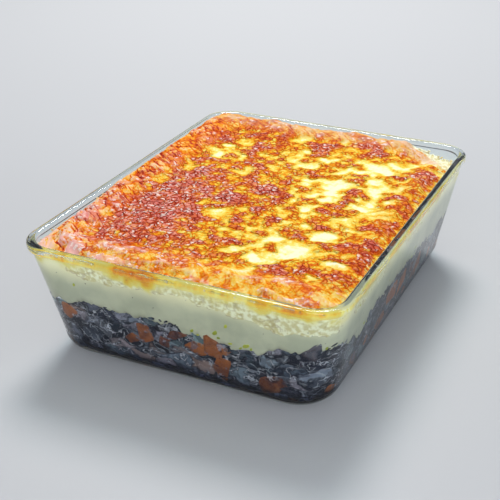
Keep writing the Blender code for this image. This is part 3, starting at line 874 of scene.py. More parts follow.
# Browned places, as x, y, half width, half length and strength
BROWN_PLACES = [
    (-33, 71, 8, 9, 0.7), (-37, 59, 7, 5, 0.6), (-63, 76, 9, 6, 0.6), (-80, 104, 7, 6, 0.4),
    (-70, 113, 5, 8, 0.4), (7, 88, 11, 9, 0.7), (33, 101, 12, 6, 0.8), (45, 93, 7, 4, 0.7),
    (7, 75, 6, 7, 0.7), (0, 46, 6, 4, 0.6), (-3, 4, 12, 8, 0.9), (10, -2, 8, 6, 0.7),
    (-15, -19, 11, 7, 0.8), (3, 24, 5, 8, 0.6), (53, 23, 6, 6, 0.9), (52, 13, 5, 4, 0.8),
    (50, 4, 5, 5, 0.8), (85, 69, 8, 6, 0.8), (83, 59, 8, 7, 0.8), (72, 29, 4, 4, 0.9), (80, 24, 6, 5, 0.8),
    (48, -14, 7, 3, 0.9), (78, -27, 6, 4, 0.9), (90, -11, 3, 5, 0.6), (87, -46, 5, 8, 1.0),
    (88, -61, 4, 5, 0.8), (52, -36, 5, 3, 0.8), (47, -51, 6, 4, 0.9), (32, -46, 9, 3, 0.7),
    (67, -57, 6, 4, 0.9), (73, -72, 9, 2, 0.8), (18, -72, 6, 5, 0.9), (2, -47, 4, 4, 0.8),
    (-7, -54, 4, 3, 0.8), (3, -74, 5, 4, 0.7), (47, -96, 9, 6, 0.9), (58, -91, 7, 5, 0.8),
    (63, -101, 6, 5, 0.8), (77, -91, 7, 3, 0.8), (75, -109, 7, 6, 0.6), (0, -102, 8, 6, 0.6),
    (-28, -106, 9, 7, 0.6), (-50, -102, 11, 5, 0.7), (-63, -116, 6, 4, 0.5), (-7, -92, 8, 5, 0.6),
    (-83, -64, 8, 5, 0.5), (-83, -81, 8, 5, 0.5), (17, 38, 4, 4, 0.6), (42, 41, 7, 3, 0.7),
    (50, 48, 4, 4, 0.6), (33, 76, 4, 8, 0.6), (67, 58, 7, 3, 0.6), (23, -36, 8, 4, 0.7),
    (8, -29, 6, 4, 0.7), (75, -52, 5, 5, 0.8),
]
# Wide stretches that are browner or paler than the rest, as x, y, half width, half length and strength
BROWN_STRETCHES = [
    (-47, -44, 30, 66, 0.24), (-50, -56, 18, 36, 0.08), (-8, -8, 24, 32, 0.08), (-48, 78, 40, 26, 0.06),
    (-84, 0, 12, 96, 0.03), (10, 92, 70, 9, 0.12), (20, 116, 80, 8, -0.02), (86, 10, 8, 90, 0.08),
    (40, 40, 46, 46, -0.07), (48, -60, 40, 50, -0.05), (10, -116, 80, 8, -0.04), (-84, 60, 14, 40, 0.02),
]
# Deep creases that the fork left at the border, as start x, y, end x, y, depth and half width
CREASES = [
    (-95, 29, -75, 12, 1.6, 0.9), (-94, -5, -74, -27, 1.8, 1.0), (-93, 72, -79, 58, 0.9, 0.8),
    (-92, -74, -70, -92, 1.0, 0.8), (-90, -98, -70, -110, 0.8, 0.8),
]
# Where the mash is broken into crumbs behind the front glass, as x, y, half width, half length and strength
BROKEN_PLACES = [
    (-22, -124, 46, 20, 0.75), (52, -124, 46, 20, 1.0),
]
# Where the browning runs down behind the glass, in the same form
STAINED_PLACES = [
    (-66, -124, 7, 20, 0.3), (-24, -124, 16, 20, 0.9), (68, -124, 14, 20, 0.65), (-94, -60, 20, 30, 0.7),
    (-94, 40, 20, 26, 0.8), (94, 30, 20, 40, 0.5), (30, 124, 30, 20, 0.6),
]


def place_sum(x, y, places, sharpness):
    """How strongly each point lies in a list of round places."""
    total = np.zeros_like(x)
    for place_x, place_y, half_width, half_length, strength in places:
        reach = np.hypot((x - place_x * MM) / (half_width * MM), (y - place_y * MM) / (half_length * MM))
        total = np.maximum(total, strength * smooth_step((1.0 + sharpness - reach) / (2.0 * sharpness)))
    return total


def stretch_sum(x, y):
    """How much the wide stretches add to the browning."""
    total = np.zeros_like(x)
    for place_x, place_y, half_width, half_length, strength in BROWN_STRETCHES:
        off_x = (x - place_x * MM) / (half_width * MM)
        off_y = (y - place_y * MM) / (half_length * MM)
        total += strength * np.exp(-((off_x**2 + off_y**2) ** 1.5))
    return total


def crease_depth(x, y):
    """How deep the creases of the list are cut, with a little waver across them."""
    total = np.zeros_like(x)
    for start_x, start_y, end_x, end_y, depth, half_width in CREASES:
        start = np.array([start_x, start_y]) * MM
        run = np.array([end_x, end_y]) * MM - start
        length = np.linalg.norm(run)
        run /= length
        along, across = along_across(x, y, *start, *run)
        across = across + 0.0008 * np.sin(along * 420.0 + start_x)
        ends = smooth_step(along / 0.004) * smooth_step((length - along) / 0.006)
        total = np.maximum(total, depth * MM * ends * hump(across, 0.0, half_width * MM))
    return total


def fork_strokes(x, y):
    """Where the fork's ridges stand, from 0 to 1, and where its creases run beside them."""
    ridge = np.zeros_like(x)
    crease = np.zeros_like(x)
    wobble = 0.0010 * plan_noise(x, y, 0.0100, 14) + 0.0004 * plan_noise(x, y, 0.0035, 15)
    for *line, rise in MARKS:
        along, across = along_across(x, y, *line)
        across = across + wobble
        ends = np.exp(-((along / 0.0125) ** 4))
        share = step_up(rise / RIDGE_HEIGHT, 0.4, 0.9)
        width = 0.0022 + 0.0024 * share
        ridge = np.maximum(ridge, (0.3 + 0.7 * share) * hump(across, 0.0, width) * ends)
        crease = np.maximum(crease, share**2 * hump(across, 1.5 * width, 0.0008) * ends)
    return ridge, crease


def crust_looks(x, y):
    """Browning with painted shade in its creases, dryness with painted sheen, bubbling, fork ridges and
    height of the crust at points in plan.

    Sizes of noise, places, widths and heights are in metres. The other numbers are strengths.
    """
    distance = inside_distance(x, y)
    broad = plan_noise(x, y, 0.012, 1)
    medium = plan_noise(x, y, 0.0065, 2)
    fine = plan_noise(x, y, 0.0032, 3)
    moved_x = x + (0.0026 * plan_noise(x, y, 0.0080, 5) + 0.0012 * plan_noise(x, y, 0.0034, 6))
    moved_y = y + (0.0026 * plan_noise(x, y, 0.0080, 7) + 0.0012 * plan_noise(x, y, 0.0034, 8))
    pale = place_sum(moved_x, moved_y, PALE_PLACES, 0.70)
    brown_spot = place_sum(moved_x, moved_y, BROWN_PLACES, 0.35)

    # The forked border: all of the left, the back, and the left part of the front
    border = smooth_step((0.028 + 0.0060 * broad + 0.0030 * medium - distance) / 0.014)
    share = 0.15 + step_up(-x, 0.055, 0.02) + step_up(y, 0.09, 0.015)
    share += step_up(-x, 0.050, 0.020) * step_up(-y, 0.09, 0.02)
    forked = border * np.clip(share, 0.0, 1.0)
    # Along the rest of the front the crust is wrinkled, with mounds that lie along the wall
    front = step_up(-y, 0.094, 0.016) * (1.0 - forked)
    wrinkle = plan_noise(moved_x / 0.0105, moved_y / 0.0044, 1.0, 12) + 0.25 * fine
    front_mound = front * step_up(wrinkle, -0.12, 0.40)
    forked = np.maximum(forked, 0.34 * front)
    heading = math.radians(STROKE_HEADING)
    along, across = along_across(moved_x, moved_y, 0.0, 0.0, math.cos(heading), math.sin(heading))
    streak = plan_noise(across / 0.0042, along / 0.0160, 1.0, 9)
    streak = streak + 0.3 * plan_noise(across / 0.0019, along / 0.0090, 1.0, 11)
    # On the left the forked border breaks into long mounds with creases between them
    back = step_up(y, 0.098, 0.012)
    left = step_up(-x, 0.055, 0.02) * (1.0 - back) * forked * (1.0 - front)
    block_edge, block_lot = cells_at(across + 0.0016 * medium, along / 1.3 + 0.0014 * fine, 0.0108, 13)
    block = smooth_step(block_edge / 0.36)
    ridge, stroke_crease = fork_strokes(x, y)
    front_left = np.exp(-(((x + 0.074) / 0.056) ** 2 + ((y + 0.102) / 0.044) ** 2))
    edge, lot = cells_at(moved_x, moved_y, 0.0085, 10)
    mound = np.clip(edge / 0.7, 0.0, 1.0)
    # At the back the fork's ridges are short and round
    knob = back * step_up(mound, 0.12, 0.5) * step_up(lot, 0.12, 0.3)
    ridge = np.maximum(ridge * (1.0 - 0.6 * back), np.maximum(0.62 * front_left, 0.85 * knob)) * forked
    ridge = np.maximum(ridge * (1.0 - front), 0.90 * front_mound)
    ridge = ridge * (1.0 - 0.6 * left) + 0.75 * left * block * step_up(block_lot, 0.10, 0.5)
    stroke_crease *= forked * (1.0 - front)

    # Browning: mottled all over, streaked on the fork's strokes, then the patches of the lists, with painted
    # shade in the creases
    ragged_pale = np.clip(pale * (0.92 + 0.46 * medium + 0.50 * fine), 0.0, 1.15)
    ragged_brown = np.clip(brown_spot * (0.95 + 0.3 * medium + 0.3 * fine), 0.0, 1.2)
    browning_and_shade = 0.360 + stretch_sum(x, y) + 0.12 * broad
    mottled = (1.0 - 0.6 * forked) * (0.18 * np.tanh(2.6 * medium) + 0.09 * fine)
    browning_and_shade += mottled + (1.0 - forked) * 0.18 * mound * (lot - 0.45)
    streaked = 0.10 * streak * (1.0 - 0.5 * back) * (1.0 - 0.5 * left)
    # Painted shade: the creases beside the fork's ridges are darkened
    browning_and_shade += forked * (streaked + 0.01 - 0.08 * ridge + 0.27 * stroke_crease)
    # Painted shade: darker where the long mounds on the left meet, and each mound a little browner or paler
    browning_and_shade += left * (0.24 * (1.0 - smooth_step(block_edge / 0.15)) + 0.14 * (block_lot - 0.55) - 0.055)
    browning_and_shade += 0.27 * ragged_brown - 0.31 * ragged_pale
    browning_and_shade = np.where(browning_and_shade > 0.5, 0.5 + 0.25 * np.tanh((browning_and_shade - 0.5) / 0.25), browning_and_shade)
    browning_and_shade += front * (0.40 * (0.33 - browning_and_shade) - 0.09 * front_mound)
    bubbly = step_up(browning_and_shade, 0.14, 0.26) * (1.0 - 0.75 * forked) * (1.0 - 0.4 * front)
    creases = crease_depth(x, y)
    # Painted shade: the deep creases of the list are darkened
    browning_and_shade += 170.0 * creases
    edge_line = smooth_step((0.0030 - distance) / 0.0030)
    browning_and_shade *= 1.0 - 0.30 * edge_line

    # Cream mash lies bare at the sunken corner, with a yellow edge round it
    slope = 0.67 * x + 0.74 * y + 0.0016 * medium + 0.0007 * fine
    browning_and_shade -= 0.25 * step_up(slope, 0.1180, 0.008)
    bare = step_up(slope, 0.1300, 0.0025)
    browning_and_shade = np.clip(browning_and_shade, 0.0, 1.0) * (1.0 - 0.97 * bare)

    # Dried crowns, whose pink is partly painted sheen: most of them on the fork's ridges and in the middle of
    # the left
    left_middle = np.exp(-(((x + 0.048) / 0.034) ** 2 + ((y + 0.040) / 0.068) ** 2))
    dry_and_sheen = (0.20 + 0.80 * left_middle + 0.50 * ragged_brown) * step_up(browning_and_shade, 0.36, 0.12) * (1.0 - forked)
    dry_and_sheen += forked * (0.34 + 0.80 * front_left + 0.56 * back) * (1.0 - bare)
    dry_and_sheen += left * (0.40 * smooth_step((0.010 - y) / 0.060) - 0.08)
    dry_and_sheen = np.maximum(dry_and_sheen, front * (0.50 + 0.50 * smooth_step((0.020 - x) / 0.05)))
    browning_and_shade += forked * (1.0 - bare) * (0.06 * knob - 0.04 * back - 0.06 * front_left)
    browning_and_shade += 0.22 * forked * front_left * streak
    # A duller tan colour on the back border
    tan_at_back = forked * back * (0.34 + 0.36 * knob) * (1.0 - bare)
    dry_and_sheen = np.clip(dry_and_sheen * (0.6 + 0.8 * lot), 0.0, 1.0) * (1.0 - smooth_step(ragged_pale / 0.6))

    # Relief: browned places swell, mounds and ridges stand up, and pale places and creases lie low
    browned = step_up(browning_and_shade, 0.30, 0.30)
    height = crust_base(x, y)
    height += 0.0006 * broad + 0.0006 * medium * (0.3 + 0.7 * browned) + 0.0003 * fine * browned
    height += 0.0010 * mound * (0.3 + 0.7 * browned) * (1.0 - 0.6 * forked * (1.0 - 1.6 * back))
    height += 0.0006 * ragged_brown + 0.0006 * front_mound + 0.0004 * front
    lifted = 0.0018 * left * (block - 0.6) * smooth_step(distance / 0.007)
    height += 0.0005 * streak * forked * (1.0 - 0.6 * left) + lifted
    height -= 0.0006 * np.clip(pale, 0, 1)
    height = limited(height) - creases - 0.0014 * stroke_crease + 0.0008 * ridge
    height -= 0.0005 * smooth_step((0.0022 - distance) / 0.0022) ** 2
    film = step_up(slope, 0.1250, 0.004) * np.exp(-((np.maximum(distance, 0.0) / 0.0010) ** 2))
    height += film * (0.0016 + 0.0014 * plan_noise(x, y, 0.0070, 16))
    looks = {"browning_and_shade": browning_and_shade, "dry_and_sheen": dry_and_sheen, "bubbly": bubbly, "ridge": ridge, "forked": forked}
    looks |= {"side": 0.9 * bare, "crumb": bare, "tan_at_back": tan_at_back}
    return looks, height


def wall_line(x, y):
    """Height of the wavy line behind the glass under which the mash lies smooth and close."""
    line = 0.0596 + 0.0044 * plan_noise(x, y, 0.030, 21) + 0.0032 * plan_noise(x, y, 0.011, 22)
    line -= 0.0046 * step_up(x, 0.016, 0.030) * step_up(-y, 0.105, 0.010)
    return line + 0.0016 * plan_noise(x, y, 0.0040, 23) + 0.0010 * plan_noise(x, y, 0.0018, 24)


def make_mash():
    """The mash: its crust as a net, its wall ring after ring down to the seam, and its underside."""
    grid_x, grid_y = np.meshgrid(
        np.linspace(-DISH_WIDTH / 2, DISH_WIDTH / 2, round(DISH_WIDTH / TOP_SPACING) + 1),
        np.linspace(-DISH_LENGTH / 2, DISH_LENGTH / 2, round(DISH_LENGTH / TOP_SPACING) + 1),
    )
    flat_x, flat_y = grid_x.ravel(), grid_y.ravel()
    x, y = rounded_plan(flat_x, flat_y, *inner_plan(DISH_HEIGHT - CRUST_DROP, SHOULDER_GAP))
    looks, z = crust_looks(x, y)
    top = np.stack([x, y, z], axis=1)
    index = np.arange(len(top)).reshape(grid_x.shape)
    quads = np.stack([index[:-1, :-1], index[:-1, 1:], index[1:, 1:], index[1:, :-1]], axis=-1).reshape(-1, 4)

    # Down the wall from the top's border, anticlockwise from above
    border = np.concatenate([index[0, :-1], index[:-1, -1], index[-1, :0:-1], index[:0:-1, 0]])
    columns = len(border)
    edge_x, edge_y, edge_z = flat_x[border], flat_y[border], z[border]
    wall_x, wall_y = x[border], y[border]

    def edge_noise(size, seed):
        return plan_noise(wall_x, wall_y, size, seed)

    low_x, low_y = rounded_plan(edge_x, edge_y, *inner_plan(LAYER_LEVEL, -0.0002))
    ragged = 0.0027 * plan_noise(low_x, low_y, 0.0058, 31) + 0.0023 * plan_noise(low_x, low_y, 0.0026, 32)
    foot = seam_height(low_x, low_y) - 0.0006 + ragged
    line = wall_line(wall_x, wall_y)
    reach = 0.0098 + 0.0036 * edge_noise(0.028, 37)
    broken = smooth_step(0.6 + 2.6 * edge_noise(0.050, 39)) * step_up(wall_y, -0.105, 0.010)
    broken = np.maximum(broken, place_sum(wall_x, wall_y, BROKEN_PLACES, 0.25))
    heat = 0.13 + 0.10 * edge_noise(0.019, 38)
    heat += 0.34 * place_sum(wall_x, wall_y, STAINED_PLACES, 0.5)
    shares = np.linspace(0.0, 1.0, MASH_WALL_ROWS) ** 1.08
    rings, browns, sides, crumbs, feet = [], [], [], [], []
    for share in shares[1:]:
        level = edge_z + (foot - edge_z) * share
        drop = edge_z - level
        ripple = noise_at(wall_x, wall_y, level, 0.0046, 33)
        coarse = noise_at(wall_x, wall_y, level, 0.0016, 34)
        above = smooth_step((level - line) / 0.0030 + 0.5)
        # Just into the glass where it lies close, and back from it where broken, at its top and its foot
        into = 0.00050 + 0.00008 * ripple - above * broken * (0.00018 + 0.00016 * coarse)
        into -= 0.0011 * np.exp(-drop / 0.0007)
        into -= 0.0016 * step_up(share, 0.955, 0.045)
        rings.append(np.stack([*rounded_plan(edge_x, edge_y, *inner_plan(level, -into)), level], axis=1))
        stain_noise = noise_at(wall_x, wall_y, level, 0.0080, 35)
        stain_noise = stain_noise + 0.4 * noise_at(wall_x, wall_y, level, 0.0028, 36)
        stain = np.clip(1.10 - drop / reach + 0.50 * stain_noise, 0.0, 1.0)
        browning = looks["browning_and_shade"][border] * np.exp(-drop / 0.0011) + heat * stain**1.1
        browns.append(np.clip(browning, 0.0, 0.75))
        sides.append(smooth_step(drop / 0.0020))
        crumbs.append(np.clip(above * broken + 0.20 * coarse, 0.0, 1.0))
        feet.append(np.exp(-(level - foot) / 0.0016))
    side_faces = ring_bands(columns, len(rings), first=len(top))[:, ::-1]
    first_ring = len(top) + np.arange(columns)
    first_band = np.stack([border, first_ring, np.roll(first_ring, -1), np.roll(border, -1)], axis=1)

    # The underside, joined to the last ring
    inside_first = len(top) + columns * len(rings)
    under, cap = cap_net(rings[-1], 0.0060, inside_first - columns, inside_first)
    points = np.concatenate([top, *rings, on_seam(under, 0.0003)])
    fill = np.zeros(len(under))
    below = np.zeros(len(points) - len(top))
    values = {name: np.concatenate([numbers, below]) for name, numbers in looks.items()}
    values["browning_and_shade"] = np.concatenate([looks["browning_and_shade"], *browns, fill + 0.05])
    values["side"] = np.concatenate([looks["side"], *sides, fill + 1.0])
    values["crumb"] = np.concatenate([looks["crumb"], *crumbs, fill])
    values["foot"] = np.concatenate([np.zeros(len(top)), *feet, fill + 1.0])
    faces = [quads, first_band, side_faces, cap[:, ::-1]]
    mash = new_piece("mash_crust", points, faces, mash_material(), values)
    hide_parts("mash")


# ---------------------------------------------------------------- the filling

# How softly a piece flattens on the glass, and how far those that have to show clearly reach into it
PRESS_SOFTNESS = 0.00016
DEEP_PRESS = 0.00085
# Half the run along the front wall in which the pieces are set from the lists
FRONT_HALF_RUN = 0.074
# The range of a turn that may go all the way round
ANY_TURN = (0, 6.28)


def make_core():
    """The dark, packed middle of the filling, just into the glass all round."""
    columns = 640
    rows = 34
    along = np.linspace(0.0, ROUND_TRIP, columns, endpoint=False)
    top_run = seam_run(along) + 0.0030
    rings = []
    for row in range(rows):
        share = row / (rows - 1)
        up = share * top_run
        plain = wall_point(along, up, np.zeros(columns))
        depth = -0.00020 - 0.00010 * noise_at(*plain.T, 0.0040, 41)
        depth += 0.0014 * step_up(share, 0.94, 0.06)
        rings.append(wall_point(along, up, depth))
    floor_first = columns * rows
    floor, floor_faces = cap_net(rings[0], 0.0050, 0, floor_first)
    roof, roof_faces = cap_net(rings[-1], 0.0080, floor_first - columns, floor_first + len(floor))
    floor_points = np.column_stack([floor, np.full(len(floor), BASE_THICKNESS - 0.0002)])
    points = np.concatenate([*rings, floor_points, on_seam(roof, 0.0002)])
    faces = [ring_bands(columns, rows), floor_faces[:, ::-1], roof_faces]
    core = new_piece("filling_core", points, faces, core_material())
    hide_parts("filling")


def block_net(steps):
    """A cube's surface cut into a grid, from -1 to 1: its points and its outward faces."""
    line = np.tan(np.linspace(-1, 1, steps + 1) * math.pi / 4)
    points, faces, index = [], [], {}
    for axis in range(3):
        for side in (-1.0, 1.0):
            for i in range(steps):
                for j in range(steps):
                    quad = []
                    for di, dj in ((0, 0), (1, 0), (1, 1), (0, 1)):
                        place = [0.0, 0.0, 0.0]
                        place[axis] = side
                        place[(axis + 1) % 3] = line[i + di]
                        place[(axis + 2) % 3] = line[j + dj]
                        key = tuple(round(value, 6) for value in place)
                        if key not in index:
                            index[key] = len(points)
                            points.append(place)
                        quad.append(index[key])
                    faces.append(quad if side > 0 else quad[::-1])
    return np.array(points), np.array(faces)


def roughened(shape, seed, strength, lumps, fine_share, fine_lumps):
    """A shape with its surface moved in and out by noise of two sizes."""
    swell = noise_at(*shape.T, lumps, seed)
    fine = noise_at(*shape.T, fine_lumps, seed + 50)
    return shape * (1.0 + strength * swell + fine_share * strength * fine)[:, None]


def forms(steps, squareness, unevenness, lumps, count, seed):
    """A few different shapes of one kind of piece, each within about -1 to 1, and their shared faces."""
    net, faces = block_net(steps)
    size = (np.abs(net) ** squareness).sum(axis=1) ** (1.0 / squareness)
    smooth = net / size[:, None]
    shapes = [roughened(smooth, seed + k, unevenness, lumps, 0.5, lumps * 0.4) for k in range(count)]
    return shapes, faces


def cut_forms(steps, sides, sharpness, ragged, count, seed):
    """Shapes of vegetables cut by a knife: a few flat cuts that don't meet squarely, and torn edges."""
    chance = random.Random(seed)
    net, faces = block_net(steps)
    ways = net / np.linalg.norm(net, axis=1)[:, None]
    shapes = []
    for k in range(count):
        turn = chance.uniform(0.0, 2 * math.pi)
        cuts = [((0, 0, 1), 1.0), ((0, 0, -1), 1.0)]
        total_sides = chance.choice(sides)
        for n in range(total_sides):
            angle = turn + 2 * math.pi * (n + chance.uniform(-0.25, 0.25)) / total_sides
            way = (math.cos(angle), math.sin(angle), chance.uniform(-0.3, 0.3))
            cuts.append((way, chance.uniform(0.70, 1.0)))
        total = np.zeros(len(ways))
        for way, height in cuts:
            way = np.array(way) / np.linalg.norm(way)
            total += (np.maximum(ways @ way, 0.0) / height) ** sharpness
        shape = ways * (total ** (-1.0 / sharpness))[:, None]
        shapes.append(roughened(shape, seed + k, ragged, 0.8, 0.8, 0.32))
    return shapes, faces


class Heap:
    """Many small things of one kind, joined in one mesh and pressed on the glass."""

    def __init__(self, shapes, faces, seed):
        self.shapes = shapes
        self.faces = faces
        self.chance = random.Random(seed)
        self.points = []
        self.nets = []
        self.tones = []
        self.tucks = []

    def add(
        self, along, up, half_sizes, turn, tone=None, press=None, bend=0.0, sink=0.3, taper=0.0, floor=False
    ):
        """Adds a piece at a run round the wall and up it, or at x and y on the floor.

        press is how far it reaches into the glass, and sink the share of its near half that is pressed flat.
        """
        chance = self.chance
        shape = chance.choice(self.shapes) * np.array(half_sizes)
        tone = chance.random() if tone is None else tone
        press = chance.uniform(0.00035, 0.00075) if press is None else press
        if taper:
            shape[:, 0] *= 1.0 + taper * shape[:, 1] / half_sizes[1]
        if bend:
            shape[:, 2] += bend * (shape[:, 0] ** 2) / half_sizes[0] - bend * half_sizes[0] * 0.4
        shape = shape @ np.array(Euler(turn).to_matrix()).T
        reach = -shape[:, 2].min()
        depth = shape[:, 2] + reach * (1.0 - sink) - press
        clear = depth + press
        soft = PRESS_SOFTNESS * np.logaddexp(0.0, clear / PRESS_SOFTNESS)
        if floor:
            placed = np.stack([along + shape[:, 0], up + shape[:, 1], BASE_THICKNESS + soft - press], axis=1)
            net = self.faces
        else:
            placed = wall_point(along + shape[:, 0], up + shape[:, 1], soft - press)
            # Along, up and inward make a left-handed frame, so the faces are reversed to look outward again
            net = self.faces[:, ::-1]
        self.nets.append(net + len(placed) * len(self.points))
        self.points.append(placed)
        self.tones.append(np.full(len(placed), tone))
        self.tucks.append(soft)

    def finish(self, name, material):
        values = {"tone": np.concatenate(self.tones), "tuck": np.concatenate(self.tucks)}
        new_piece(name, np.concatenate(self.points), [np.concatenate(self.nets)], material, values)


# What shows best through the front and the right wall, as place along the wall from its middle, height,
# half width, half height, turn in degrees, and tone from dark to light
FRONT_CARROTS = [
    (-69, 31.5, 5.0, 6.6, 10, 0.55), (-20, 28.5, 4.8, 8.2, -14, 0.50), (-29, 23.0, 5.4, 2.8, 15, 0.30),
    (15, 28.2, 9.4, 5.4, -12, 0.70), (24.5, 27.6, 8.0, 7.4, 8, 0.60), (28.5, 18.5, 5.8, 9.2, 10, 0.45),
    (61, 14.5, 10.0, 6.6, -6, 0.25), (-7.5, 25.5, 3.2, 3.8, -30, 0.15), (1, 33, 6.4, 3.4, 20, 0.08),
]
FRONT_MUSHROOMS = [
    (-48.5, 25, 5.0, 6.6, 20, 1.0), (-40, 36.5, 9.0, 2.0, -8, 0.35), (-26, 36, 7.0, 1.8, 14, 0.3),
    (-36, 32, 7.5, 1.6, -20, 0.45), (3, 24, 9.0, 1.6, -12, 0.7), (12, 21, 7.0, 1.3, -18, 0.9),
    (43, 33, 9.0, 2.2, 8, 0.5), (62, 34, 8.5, 1.8, 22, 0.6), (84, 40, 5.0, 2.0, 30, 0.7),
    (70, 22, 10.0, 1.5, 10, 0.85), (-60, 28, 2.6, 5.0, -12, 0.2),
]
FRONT_ONIONS = [
    (3.5, 15, 8.5, 7.5, 10, 0.35), (45, 20, 7.0, 8.0, -20, 0.30), (-30, 11, 10.0, 4.5, 5, 0.45),
    (18, 12, 5.0, 6.0, 30, 0.5), (-61, 17, 6.0, 5.5, 0, 0.8), (84, 22, 6.5, 6.0, 20, 0.75),
    (-71, 17, 3.0, 7.0, 8, 0.6),
]
RIGHT_CARROTS = [
    (-12, 27, 10.5, 8.0, -18, 0.80), (9, 25, 5.5, 7.5, -10, 0.85), (45, 17, 8.5, 7.0, -25, 0.70),
    (-28, 15, 8.0, 5.0, 10, 0.60),
]


def drawn(chance, *ranges):
    """A number from each range, in turn."""
    return [chance.uniform(low, high) for low, high in ranges]


def drawn_sizes(chance, *ranges):
    """A length from each range, which is given in millimetres."""
    return [size * MM for size in drawn(chance, *ranges)]


def set_by_hand(along, up):
    """True behind the front glass, where the lists of pieces say what lies there."""
    from_front = (along + ROUND_TRIP / 2) % ROUND_TRIP - ROUND_TRIP / 2
    return abs(from_front) < FRONT_HALF_RUN and up > 0.004


def wall_places(chance, count, lowest, over_seam, left_out=0.0):
    """Places all round the walls, up to a run over the seam.

    left_out is the share that is dropped where pieces are set from the lists.
    """
    for _ in range(count):
        along = chance.uniform(0.0, ROUND_TRIP)
        up = chance.uniform(lowest, seam_at(along) + over_seam)
        if left_out and set_by_hand(along, up) and (left_out == 1.0 or chance.random() < left_out):
            continue
        yield along, up


def add_listed(chance, heap, items, start, thickness, bend, sink):
    """Presses the pieces of a list on the glass, from a start on the run round the wall."""
    for along, height, half_width, half_height, turn, tone in items:
        sizes = (half_width * MM, half_height * MM, thickness * chance.uniform(0.8, 1.2))
        turns = (*drawn(chance, (-0.2, 0.2), (-0.2, 0.2)), math.radians(turn))
        up = run_up_to(height * MM) if height * MM > CAVITY_TOP_OF_ROUND else height * MM
        press = DEEP_PRESS + 0.00015 * chance.random()
        heap.add(start + along * MM, up, sizes, turns, tone=tone, press=press, bend=bend, sink=sink)


